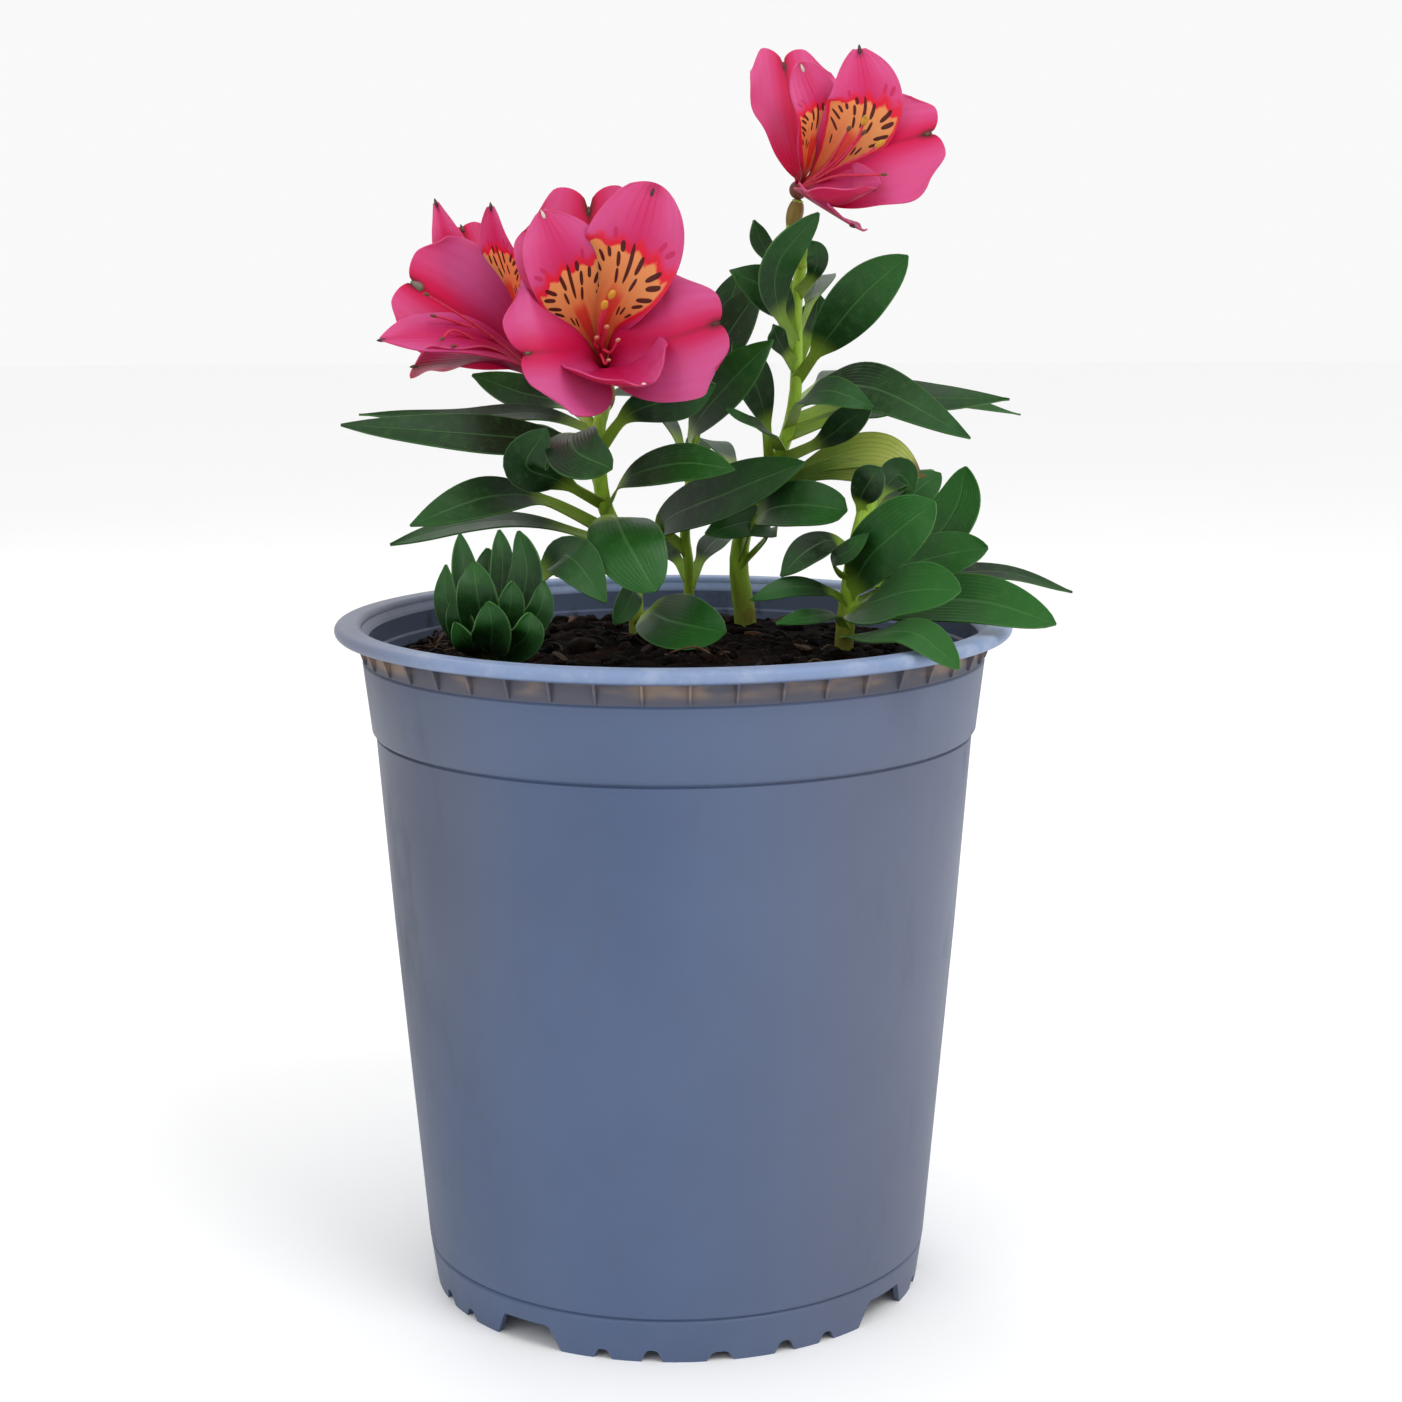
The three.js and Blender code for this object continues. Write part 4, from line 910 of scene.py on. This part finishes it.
            leafRow(186, [[-53.5, -27, 196], [-56.5, -24, 207.5], [-58, -20, 218]], [0.3, -0.95, 0], 8,
                bud),
            leafRow(186, [[-47, -27, 199], [-46.5, -22, 210], [-47.5, -18, 218.5]], [0.3, -0.95, 0], 7,
                bud),
            leafRow(186, [[-42, -31, 197], [-39, -30, 209], [-41.5, -25, 219]], [-0.3, -0.95, 0], 10,
                bud),
            leafRow(184, [[-56.5, -32, 191.5], [-60.5, -33, 201], [-61, -30, 210.5]], [-0.3, -0.9, 0],
                7.5, bud),
            leafRow(184, [[-50.5, -38, 195], [-51.5, -43, 204.5], [-52.5, -40, 212.5]],
                [-0.1, -0.95, 0.1], 11.5, bud),
            leafRow(187, [[-50, -24, 197], [-50.5, -18, 206.5], [-51, -14, 213]], [0, -0.95, 0], 9, bud),
            leafRow(184, [[-41.5, -34, 191.5], [-35.5, -37, 199], [-34.5, -34, 206.5]], [0.3, -0.9, 0.1],
                8, bud),
            leafRow(184, [[-48, -44, 190.5], [-47, -52, 197], [-48, -52, 203.5]], [0, -0.95, 0.2], 10.5,
                bud),
            leafRow(184, [[-42.5, -42, 189.5], [-38, -49, 194.5], [-37.5, -48, 200]], [0.2, -0.9, 0.2],
                9.5, bud),
            leafRow(185, [[-45.5, -36, 193], [-43, -40, 200.5], [-42.5, -38, 207]], [0.15, -0.95, 0.1],
                8, bud),
            leafRow(184, [[-52.5, -38, 188.5], [-55, -44, 192], [-57.5, -45, 197]], [-0.3, -0.9, 0.2], 7,
                bud),
            leafRow(184, [[-54, -35, 190.5], [-56.5, -39, 197], [-57, -37, 204.5]], [-0.2, -0.95, 0.1],
                8, bud),
            leafRow(188, [[-34, -14, 208], [-27, -24, 211], [-18, -30, 200]], [0, -0.9, 0.4], 13.5,
                stalked),
            leafRow(185, [[-54, -16, 192], [-57, -8, 199], [-58, -2, 206]], [-0.2, 0.9, 0.3], 9, bud),
            leafRow(185, [[-46, -16, 192], [-44, -8, 199], [-44, -2, 206]], [0.2, 0.9, 0.3], 9, bud),
        ],
    },
}

foliageLook = {
    "deep": srgb(9, 28, 9), "mid": srgb(25, 64, 22), "fresh": srgb(26, 94, 20), "vein": srgb(78, 128, 66),
    "under": srgb(78, 116, 62), "petiole": srgb(132, 164, 54), "stem": srgb(164, 202, 66),
    "stemShade": srgb(126, 160, 44), "foot": srgb(128, 124, 58), "blush": srgb(120, 74, 50),
    "flush": srgb(116, 44, 42), "fading": srgb(164, 174, 72), "faded": srgb(88, 122, 36),
}


def paintLeaf(start, place):
    u, v = sheetPlace(start)
    across = u * 2 - 1
    edge = abs(across)
    tone, share, under = start.named("tone"), start.named("share"), start.named("under")
    veins = (across * 46 + place.noise(40) * 3).wave().rise(0.0, 1.0) * place.noise(90, 2).rise(0.3, 0.7)
    midrib = edge.fall(0.015, 0.07)
    blotches = place.noise(38, 4, 0.6).rise(0.35, 0.7)
    mottle = place.noise(320, 4, 0.7).rise(0.45, 0.72)
    lively = (tone * 0.6 + v.rise(0.3, 1.0) * 0.5).rise(0.2, 1.0)
    colour = coats(
        foliageLook, "deep", (blotches * 0.55 + tone * 0.45, "mid"), (lively * 0.85, "fresh"),
        (mottle * 0.13 + veins * 0.08, "vein"), (midrib * 0.28, "vein"), (edge.rise(0.94, 1.0) * 0.4, "vein"),
        (under * 0.5, "under"), (share.fall(0.0, 0.22) * 0.9, "petiole"),
    )
    height = veins * 0.3 - midrib * 0.7 + place.noise(260, 3) * 0.4 + place.noise(55, 2) * 2.2
    roughness = 0.38 + blotches * 0.12 + mottle * 0.08 + under * 0.15
    return {"Base Color": colour, "Roughness": roughness, "Normal": height.bump(0.3 * mm, 0.6)}


def paintStem(start, place):
    z = place.parts()[2]
    streaks = place.noise(260, 4, 0.6, (1, 1, 0.12))
    stains = z.fall(0.18, 0.195) * place.noise(120).rise(0.5, 0.65)
    flush = start.named("flush") * (0.5 + streaks * 0.6)
    colour = coats(foliageLook, "stem", (streaks.rise(0.35, 0.7), "stemShade"),
                   (z.fall(0.182, 0.202) * 0.7, "foot"), (stains * 0.6, "blush"), (flush, "flush"))
    return {"Base Color": colour, "Roughness": 0.42 + streaks * 0.12, "Normal": streaks.bump(0.15 * mm, 0.6)}


def paintFading(start, place):
    u, v = sheetPlace(start)
    veins = ((u * 2 - 1) * 24).wave().rise(0.2, 1.0)
    patches = place.noise(70, 4, 0.6).rise(0.4, 0.65)
    green = v.fall(0.3, 0.85) * 0.75 + patches * 0.25
    colour = coats(foliageLook, "fading", (green, "faded"), (veins * 0.3, "faded"),
                   (v.rise(0.88, 0.97) * 0.8, "blush"))
    return {"Base Color": colour, "Roughness": 0.5 + patches * 0.1, "Normal": veins.bump(0.15 * mm, 0.6)}


# Thin plant tissue, which lets some light through
def tissue(name, paint, depth, scale, **fixed):
    return finish(name, paint, Subsurface_Weight=depth, Subsurface_Scale=scale, **fixed)


leafGreen = tissue("leafGreen", paintLeaf, 0.06, 0.002, Specular_IOR_Level=0.27)
stemGreen = tissue("stemGreen", paintStem, 0.08, 0.002, Specular_IOR_Level=0.3)
fadingYellow = tissue("fadingYellow", paintFading, 0.1, 0.002)


# `flush` on a tube is how red it is: the stalks a little, the ovaries fully
def makeShoot(name, shoot, sheet, draw):
    stem = shoot["stem"]
    tubes = [mark(stemTube("stem", stem, shoot["radii"]), "flush", 0.0)]
    for stalk in shoot.get("stalks", []):
        tubes.append(mark(stemTube("stalk", stalk, bladeSizes["stalkRadii"]), "flush", 0.3))
        before, end = np.array(stalk[-2:], dtype=float)
        along = (end - before) / np.linalg.norm(end - before)
        ovary = pod("ovary", end - along * bladeSizes["ovaryLength"], end + along * 0.6,
                    bladeSizes["ovaryRadius"], ribs=6, depth=0.09, taper=-0.12)
        tubes.append(mark(ovary, "flush", 1.0))
    leaves = []
    for row in shoot["leaves"]:
        path = [stemPoint(stem, row["at"]), *row["through"]]
        shape = ruffled(row, path, ("at", "tone"), draw, (0.15, 0.5), (1.2, 2.4))
        leaves.append(growBlade(sheet, "leaf", shape, tone=row.get("tone", draw.uniform(0.05, 0.45))))
    dress(joinAll(tubes, f"stems_{name[-1]}"), stemGreen, "foliage", name, angle=60)
    blades = thicken(joinAll(leaves, f"leaves_{name[-1]}"), bladeSizes["leafThickness"])
    dress(blades, leafGreen, "foliage", name)


# The soil is strewn after the stems are laid out, as its bark and fibres keep clear of them
soilDraw = random.Random(soilSizes["seed"])
dress(makeSoil(), finish("compost", paintSoil, Specular_IOR_Level=0.04), "soil", "soil", angle=70)
dress(makeCrumbs(soilDraw), finish("crumbs", paintCrumbs, Specular_IOR_Level=0.06), "soil", "soil", angle=80)
dress(makeBark(soilDraw), finish("bark", paintBark, Specular_IOR_Level=0.12), "soil", "soil", angle=60)
dress(makeFibres(soilDraw), finish("fibre", paintBark, Specular_IOR_Level=0.12), "soil", "soil", angle=60)
print("soil strewn")

leafSheet = sheetOf(*bladeSizes["leafGrid"])
leafDraw = random.Random(bladeSizes["leafSeed"])
for shootName, shoot in shoots.items():
    makeShoot(shootName, shoot, leafSheet, leafDraw)

# The fading leaf is folded along its midrib, in two halves from one root
fadingRoot = [30.6, 30.3, 226.5]
fadingHalves = [
    {"path": [fadingRoot, [46, 21, 235], [59, 15, 237], [70, 12, 231.5]], "face": [0, -0.8, 0.6], "width": 12,
     "stalk": 0.05, "base": 1, "point": 0.8},
    {"path": [fadingRoot, [45, 19, 231.5], [59, 12, 231], [71.5, 10, 230.5]], "face": [0, -0.95, 0.2],
     "width": 6.5, "stalk": 0.05, "base": 0.9, "point": 0.9},
]
fading = joinAll([growBlade(leafSheet, "half", shape, tone=0.5) for shape in fadingHalves], "leaf_faded")
dress(thicken(fading, bladeSizes["leafThickness"]), fadingYellow, "faded_foliage", "leaf_fading")
discard(leafSheet)
print("shoots grown")


# Blooms: each tepal leaves the hub and ends at the last point of its row
outer = {
    "base": 1.2, "point": 0.6, "stalk": 0.05, "blunt": 0.14, "lobes": 0.13, "back": 0.1, "stalkHalf": 1.4,
}
narrow = {"base": 1.2, "point": 0.95, "stalk": 0.05, "blunt": 0.02, "stalkHalf": 1.1}
inner = {"base": 1.3, "point": 0.7, "stalk": 0.05, "blunt": 0.06, "crown": 0.04, "stalkHalf": 1.1}

# Marks of a tepal: `blotch` shows the flame, `mirror` turns its dashes over and `lower` moves it down.
# `dark` and `white` colour the tip, and `mucro` makes it larger.
blooms = {
    "centre": {
        "hub": [-19, 15, 259.5],
        "tepals": [
            bladeRow([[-20.8, 6, 273.5], [-22.3, 1, 290], [-22.8, 2, 304.4]], [0, -1, 0.2], 42, outer,
                dark=1, roll=0.03, lobes=0.15),
            bladeRow([[-15, -3, 267.3], [-1, -14, 270], [12, -16, 274]], [-0.3, -0.85, 0.4], 40, outer,
                dark=0.8, lobes=0.06, back=0.14, fold=0.05, roll=0.08, skew=-0.03),
            bladeRow([[-24.4, -3, 267], [-31, -18, 267], [-38.6, -24, 266.5]], [0.6, -0.55, 0.6], 45,
                outer, dark=0.4, lobes=0.1, back=0.1, roll=0.03),
            bladeRow([[-23.6, 1, 275], [-29, -9, 290.3], [-34.8, -10, 303.4]], [0.25, -0.95, 0.2], 24,
                narrow, blotch=1, mirror=-1, lower=0.08, point=0.75, crown=0.02, white=0.7),
            bladeRow([[-19.2, 1, 275.5], [-11, -11, 291.5], [-4.9, -12, 309.2]], [-0.25, -0.95, 0.2], 28,
                inner, blotch=1, mirror=1),
            bladeRow([[-17.2, -6, 261.6], [-13, -22, 259], [-7.1, -34, 258.6]], [-0.15, -0.3, 1], 29,
                inner, fold=0, cup=0.5, base=0.8, blotch=0, mirror=1, white=1),
        ],
        "filaments": [
            [[-19.5, -6, 269.5], [-18.2, -17, 276.5], [-15.9, -22, 282]],
            [[-20, -6, 268.5], [-19.5, -17, 274.5], [-17.9, -22, 279.3]],
            [[-19, -6, 266.5], [-16.5, -17, 266.5], [-14.3, -24, 270]],
            [[-19.6, -6, 265.5], [-18, -18, 263.5], [-16.8, -26, 264.8]],
            [[-20.5, -5, 267], [-21, -13, 268.5], [-20.2, -18, 270.5]],
            [[-19, -7, 268], [-18, -15, 271], [-17.4, -20, 273.4]],
        ],
    },
    "left": {
        "hub": [-37.5, 20.5, 257.5],
        "tepals": [
            bladeRow([[-50, 12, 263.3], [-61, 3, 263.3], [-71.5, -2, 262.2]], [-0.1, 0.4, 0.9], 19,
                outer, dark=0.2, lobes=0, back=0.03, blunt=0.2),
            bladeRow([[-50, 10, 267.5], [-64, 0, 270.8], [-79.6, -9, 269.7]], [0.2, -0.6, 0.8], 18,
                narrow, blotch=0, mirror=1),
            bladeRow([[-47, 18, 267], [-60, 14, 276.7], [-72, 8, 284.7]], [0.3, -0.9, 0.2], 36, outer,
                dark=1, lobes=0.09, back=0.03, skew=0.06, mucro=2.2, white=0.15, wave=1.7),
            bladeRow([[-48, 21, 271.5], [-60.5, 19, 288.6], [-66.3, 16, 307]], [0.3, -0.9, 0.3], 14.5,
                narrow, blotch=1, mirror=-1, dark=1, point=1.1),
            bladeRow([[-46, 27, 268.7], [-54.5, 31, 282.5], [-60.6, 32, 300]], [0.3, -0.9, 0.3], 15,
                outer, dark=0.6, lobes=0.02, back=0.02, blunt=0.2),
            bladeRow([[-44.8, 20, 277.5], [-48.8, 15, 292.5], [-50.4, 10, 305.8]], [-0.5, -0.8, 0.2],
                13.5, narrow, blotch=1, mirror=1, dark=0.7, wave=0.9),
        ],
        "filaments": [
            [[-51, 10, 266], [-60, 0, 272], [-63, -8, 270]], [[-51, 10, 270], [-60, 0, 277], [-67, -8, 282]],
            [[-50, 12, 265], [-58, 4, 268], [-60, -6, 268]], [[-50, 14, 269], [-60, 6, 274], [-66, 0, 276]],
        ],
    },
    "right": {
        "hub": [35.1, 8.5, 310],
        "tepals": [
            bladeRow([[34.8, 4, 318], [33.4, 6, 330], [31, 10, 343.5]], [0.5, -0.85, 0.1], 31, outer,
                dark=0.6, lobes=0.15, back=0.06, skew=0.12, base=1.35),
            bladeRow([[38, -1, 319], [39.8, -6, 330], [35.4, -5, 342]], [0.5, -0.85, 0.1], 15, inner,
                blotch=1, mirror=-1, white=0.6),
            bladeRow([[44.5, -5, 319], [52, -12, 331.2], [50.6, -10, 346.5]], [-0.1, -0.95, 0.2], 20.5,
                narrow, blotch=1, mirror=1, dark=1, point=0.8),
            bladeRow([[44, -4, 314], [56.6, -12, 320.6], [68.8, -14, 324]], [-0.3, -0.8, 0.5], 36, outer,
                dark=1, lobes=0.09, back=0.05, skew=0.14),
            bladeRow([[39.4, -9, 308.6], [45.2, -20, 305.8], [53.9, -27, 309.4]], [-0.1, -0.4, 0.9], 17,
                inner, cup=0.8, fold=0, blotch=0, mirror=1),
            bladeRow([[37.6, -2, 307.3], [42.8, -12, 303.6], [48.6, -19, 299.9]], [0.5, 0, 0.86], 22,
                outer, lobes=0, dark=0.2),
        ],
        "filaments": [
            [[43, -12, 316], [49, -23, 322], [51, -28, 327]],
            [[44, -13, 315], [51, -24, 318], [55, -28, 321]],
            [[44, -14, 313], [51, -24, 313], [56, -30, 313]],
            [[43, -11, 315], [47, -20, 319], [51, -24, 324]],
            [[42, -10, 316], [45, -20, 321], [47, -26, 325]],
        ],
    },
}
petalLook = {
    "pink": srgb(184, 40, 100), "pale": srgb(192, 82, 136), "deep": srgb(180, 12, 72),
    "scarlet": srgb(206, 16, 40), "orange": srgb(214, 110, 64), "yellow": srgb(218, 140, 84),
    "maroon": srgb(42, 5, 16), "back": srgb(168, 22, 72), "backDeep": srgb(116, 8, 40),
    "tip": srgb(60, 26, 26), "white": srgb(232, 222, 200), "green": foliageLook["petiole"],
    "claw": srgb(104, 52, 34), "filament": srgb(206, 40, 76), "pollen": srgb(196, 138, 30),
    "anther": srgb(196, 128, 100), "shed": srgb(96, 66, 34),
}
bloomSizes = {
    "hubRadius": 2.6, "antherLength": 3.6, "filamentRadii": [0.5, 0.4, 0.3], "tipRadius": 0.55, "seed": 11,
}
# Dashes of an upper inner tepal: across and along at the outer end, then at the inner end, and half width
dashes = [
    (-0.26, 0.73, -0.2, 0.67, 0.013), (-0.28, 0.67, -0.18, 0.59, 0.0115), (-0.18, 0.59, -0.06, 0.52, 0.01),
    (-0.03, 0.74, 0.1, 0.54, 0.0115), (0.25, 0.7, 0.24, 0.61, 0.013), (0.32, 0.61, 0.33, 0.54, 0.01),
    (0.74, 0.68, 0.5, 0.62, 0.013), (0.88, 0.64, 0.6, 0.6, 0.0125), (0.9, 0.59, 0.58, 0.54, 0.0115),
    (0.82, 0.55, 0.62, 0.5, 0.01), (0.5, 0.48, 0.5, 0.42, 0.008), (0.74, 0.48, 0.66, 0.43, 0.008),
    (0.36, 0.46, 0.42, 0.4, 0.008), (-0.5, 0.67, -0.42, 0.61, 0.0115), (-0.68, 0.62, -0.5, 0.57, 0.0125),
    (-0.82, 0.56, -0.48, 0.52, 0.0115), (-0.78, 0.5, -0.4, 0.45, 0.01), (-0.5, 0.42, -0.42, 0.36, 0.008),
]
flecks = [(0.64, 0.79, 0.5, 0.74, 0.012), (0.86, 0.77, 0.66, 0.73, 0.012), (-0.5, 0.78, -0.42, 0.72, 0.012)]
dashWidth = 0.24  # half the sheet's width over its length, where the dashes lie


# Nearness of a point of the sheet to a dash that tapers at both ends
def dashMask(across, along, dash):
    outU, outV, inU, inV, size = dash
    du, dv = (outU - inU) * dashWidth, outV - inV
    length = math.hypot(du, dv)
    du, dv = du / length, dv / length
    x, y = (across - inU) * dashWidth, along - inV
    forward = (x * du + y * dv) / length
    sideways = abs(y * du - x * dv) / size
    middle = abs(forward * 2 - 1)
    return (1 - middle * middle * middle - sideways * sideways).rise(0.0, 0.3)


def allDashes(across, along, rows):
    marks = dashMask(across, along, rows[0])
    for row in rows[1:]:
        marks = marks.larger(dashMask(across, along, row))
    return marks


# A flame: an amber patch with a scarlet halo, dashes over it and flecks beyond it
def paintInner(start, place):
    u, v = sheetPlace(start)
    mirror, blotch, under, dark = [start.named(key) for key in ("mirror", "blotch", "under", "dark")]
    across = (u * 2 - 1) * mirror
    edge = abs(across)
    up = v + start.named("lower")
    threads = (across * 26).wave() * 0.5 + 0.5
    spikes = (across * 15).wave() * 0.5 + 0.5
    ragged = place.noise(420, 2) * 0.05 + spikes * 0.03
    clouds = place.noise(90, 3).rise(0.35, 0.7)
    pale = (edge * 0.6 + v).rise(0.8, 1.4) * (0.6 + clouds * 0.3)
    lines = edge.fall(0.0, 0.04) + abs(edge - 0.17).fall(0.0, 0.035) + abs(edge - 0.36).fall(0.0, 0.03) * 0.5
    top = 0.66 - edge * edge * 0.05 + ragged
    side = 0.62 + up.rise(0.3, 0.62) * 0.27 + ragged
    halo = (top + 0.07 - up).rise(0.0, 0.06) * (side + 0.16 - edge).rise(0.0, 0.14)
    patch = (top - up).rise(0.0, 0.02) * (side - edge).rise(0.0, 0.06) * blotch
    amber = coats(petalLook, "orange", ((up + threads * 0.04).rise(0.36, 0.62), "yellow"))
    wedge = abs(across - 0.1).fall(0.16, 0.26) * up.fall(0.46, 0.54) * blotch
    clawEdge = edge.rise(0.7, 1.0) * v.fall(0.25, 0.36) * blotch
    outside = coats(petalLook, "backDeep", (edge.rise(0.1, 0.8), "back"))
    tip = v.rise(0.93, 0.995) * edge.fall(0.1, 0.5)
    colour = coats(
        petalLook, "deep", ((edge * 0.5 + v).rise(0.45, 0.95), "pink"), (pale, "pale"),
        (lines * v.rise(0.7, 0.9) * 0.6, "back"), (allDashes(across, up, flecks) * blotch * 0.7, "back"),
        (halo * blotch * 0.9, "scarlet"), (patch, amber), (wedge * 0.75, "scarlet"),
        (allDashes(across, up, dashes) * blotch * 0.97, "maroon"), (v.fall(0.1, 0.26) * 0.55, "backDeep"),
        (clawEdge * 0.7, "claw"), (under * 0.9, outside), (tip * (0.3 + dark * 0.6), "tip"),
    )
    height = threads * 0.6 + place.noise(500, 2) * 0.5 + place.noise(70, 2) * 2
    return {"Base Color": colour, "Roughness": 0.42 + threads * 0.08, "Normal": height.bump(0.2 * mm, 0.6)}


def paintOuter(start, place):
    u, v = sheetPlace(start)
    dark, under = start.named("dark"), start.named("under")
    across = u * 2 - 1
    edge = abs(across)
    threads = (across * 34 + place.noise(60, 2) * 3).wave() * 0.5 + 0.5
    clouds = place.noise(60, 3).rise(0.35, 0.7)
    pale = edge.rise(0.05, 0.55) * v.rise(0.35, 0.8) * (0.7 + clouds * 0.3)
    outside = coats(petalLook, "backDeep", (edge.rise(0.05, 0.7) * v.rise(0.1, 0.6), "back"))
    tip = v.rise(0.88, 0.98) * edge.fall(0.03, 0.16) * dark
    colour = coats(
        petalLook, "deep", (edge.rise(0.0, 0.5) * v.rise(0.25, 0.6), "pink"), (pale, "pale"),
        (threads * clouds * 0.16, "deep"), (edge.fall(0.01, 0.07) * v.rise(0.4, 0.9) * 0.45, "backDeep"),
        (v.fall(0.12, 0.3) * 0.5, "backDeep"), (under * 0.85, outside), (tip * 0.95, "tip"),
    )
    height = threads * 0.5 + place.noise(500, 2) * 0.5 + place.noise(70, 2) * 2.5
    return {"Base Color": colour, "Roughness": 0.44 + clouds * 0.08, "Normal": height.bump(0.22 * mm, 0.6)}


# `tone` runs from the threads, past the hub and the ripe anthers, to the dry and the shed ones
def paintStamens(start, place):
    tone = start.named("tone")
    grain = place.noise(900, 3, 0.6)
    colour = coats(petalLook, "filament", (tone.rise(0.2, 0.3), "claw"), (tone.rise(0.45, 0.5), "pollen"),
                   (tone.rise(0.65, 0.7), "anther"), (tone.rise(0.85, 0.95), "shed"),
                   (grain.rise(0.5, 0.7) * 0.4, "tip"))
    return {"Base Color": colour, "Roughness": 0.5 + grain * 0.3, "Normal": grain.bump(0.15 * mm, 0.7)}


def paintTips(start, place):
    colour = coats(petalLook, "white", (start.named("tone"), "tip"),
                   (place.noise(500).rise(0.5, 0.7) * 0.25, "green"))
    return {"Base Color": colour, "Roughness": 0.5 + place.noise(300) * 0.1}


innerPink = tissue("innerTepal", paintInner, 0.4, 0.004, Specular_IOR_Level=0.2)
outerPink = tissue("outerTepal", paintOuter, 0.4, 0.004, Specular_IOR_Level=0.2)
stamenPaint = finish("stamens", paintStamens)
tipPaint = finish("tepalTips", paintTips)


def fromHub(hub, through):
    hub, through = np.array(hub, dtype=float), np.array(through, dtype=float)
    away = through[0] - hub
    start = hub + away / np.linalg.norm(away) * 0.6 * bloomSizes["hubRadius"]
    return [start, *through]


# The first two anthers of a bloom are still ripe, except on the left one
def makeStamens(name, bloom):
    radius = bloomSizes["hubRadius"]
    below, above = [Vector(bloom["hub"]) + Vector((0, 0, side * radius)) for side in (-1, 1)]
    parts = [mark(pod("hub", below, above, radius), "tone", 0.4)]
    for index, through in enumerate(bloom["filaments"]):
        path = fromHub(bloom["hub"], through)
        thread = stemTube("filament", path, bloomSizes["filamentRadii"], sides=2, steps=16)
        ripe = index < 2 and name != "left"
        half = bloomSizes["antherLength"] / 2 * (1 if ripe else 0.62)
        anther = endPod("anther", path, half, half, 0.85 if ripe else 0.55, ribs=2, depth=0.2)
        mark(anther, "tone", 0.55 if ripe else 0.75 if name == "centre" else 1.0)
        parts.extend([mark(thread, "tone", 0.0), anther])
    return parts


def makeBloom(name, bloom, sheet, draw):
    node = f"bloom_{name}"
    sheets = {"inner": [], "outer": []}
    tips = []
    for row in bloom["tepals"]:
        marks = {key: row.get(key, 0) for key in ("blotch", "mirror", "dark", "lower")}
        path = fromHub(bloom["hub"], row["through"])
        shape = ruffled(row, path, ("white", "mucro", *marks), draw, (0.6, 1.2), (1.5, 3))
        sheets["inner" if "mirror" in row else "outer"].append(growBlade(sheet, "tepal", shape, **marks))
        size = row.get("mucro", 1)
        tip = endPod("tip", path, 1.4 * size, 1.3, bloomSizes["tipRadius"] * size, taper=0.4, segments=10,
                     rings=8)
        tips.append(mark(tip, "tone", 1 - row.get("white", 0)))
    for kind, paint in (("inner", innerPink), ("outer", outerPink)):
        piece = thicken(joinAll(sheets[kind], f"{node}_{kind}"), bladeSizes["tepalThickness"])
        dress(piece, paint, "petals", node)
    dress(joinAll(tips, f"{node}_tips"), tipPaint, "petals", node)
    dress(joinAll(makeStamens(name, bloom), f"{node}_stamens"), stamenPaint, "petals", node)


tepalSheet = sheetOf(*bladeSizes["tepalGrid"])
bloomDraw = random.Random(bloomSizes["seed"])
for bloomName, bloom in blooms.items():
    makeBloom(bloomName, bloom, tepalSheet, bloomDraw)
discard(tepalSheet)
print("blooms open")


# Floor, world and light: each light's place, the height it aims at, its width and its power
studio = {
    "floor": (0.98, 0.98, 0.98), "floorDeep": (0.8, 0.8, 0.8), "world": 0.95,
    "lights": [
        ("key", (0.75, -0.9, 1.5), 0.2, 0.8, 10), ("fill", (-0.9, -1.2, 1.0), 0.2, 0.9, 3),
        ("rim", (-0.4, 1.2, 1.3), 0.25, 0.8, 3),
    ],
}

clearSelection()
bpy.ops.mesh.primitive_plane_add(size=12, location=(0, 0, 0))
floor = bpy.context.object
floor.name = "floor"


def paintFloor(start, place):
    soft = place.noise(3, 2)
    colour = coats(studio, "floor", (soft * 0.1, "floorDeep"))
    return {"Base Color": colour, "Roughness": 0.85 + soft * 0.05}


floor.data.materials.append(finish("floorPaper", paintFloor))

world = bpy.data.worlds.new("studio")
world.use_nodes = True
world.node_tree.nodes["Background"].inputs["Color"].default_value = (1, 1, 1, 1)
world.node_tree.nodes["Background"].inputs["Strength"].default_value = studio["world"]
scene.world = world
scene.view_settings.view_transform = "Standard"

for name, place, aim, size, power in studio["lights"]:
    clearSelection()
    bpy.ops.object.light_add(type="AREA", location=place)
    light = bpy.context.object
    light.name = name
    light.data.shape = "DISK"
    light.data.size = size
    light.data.energy = power
    light.rotation_euler = (Vector((0, 0, aim)) - Vector(place)).to_track_quat("-Z", "Y").to_euler()
print("studio lit")
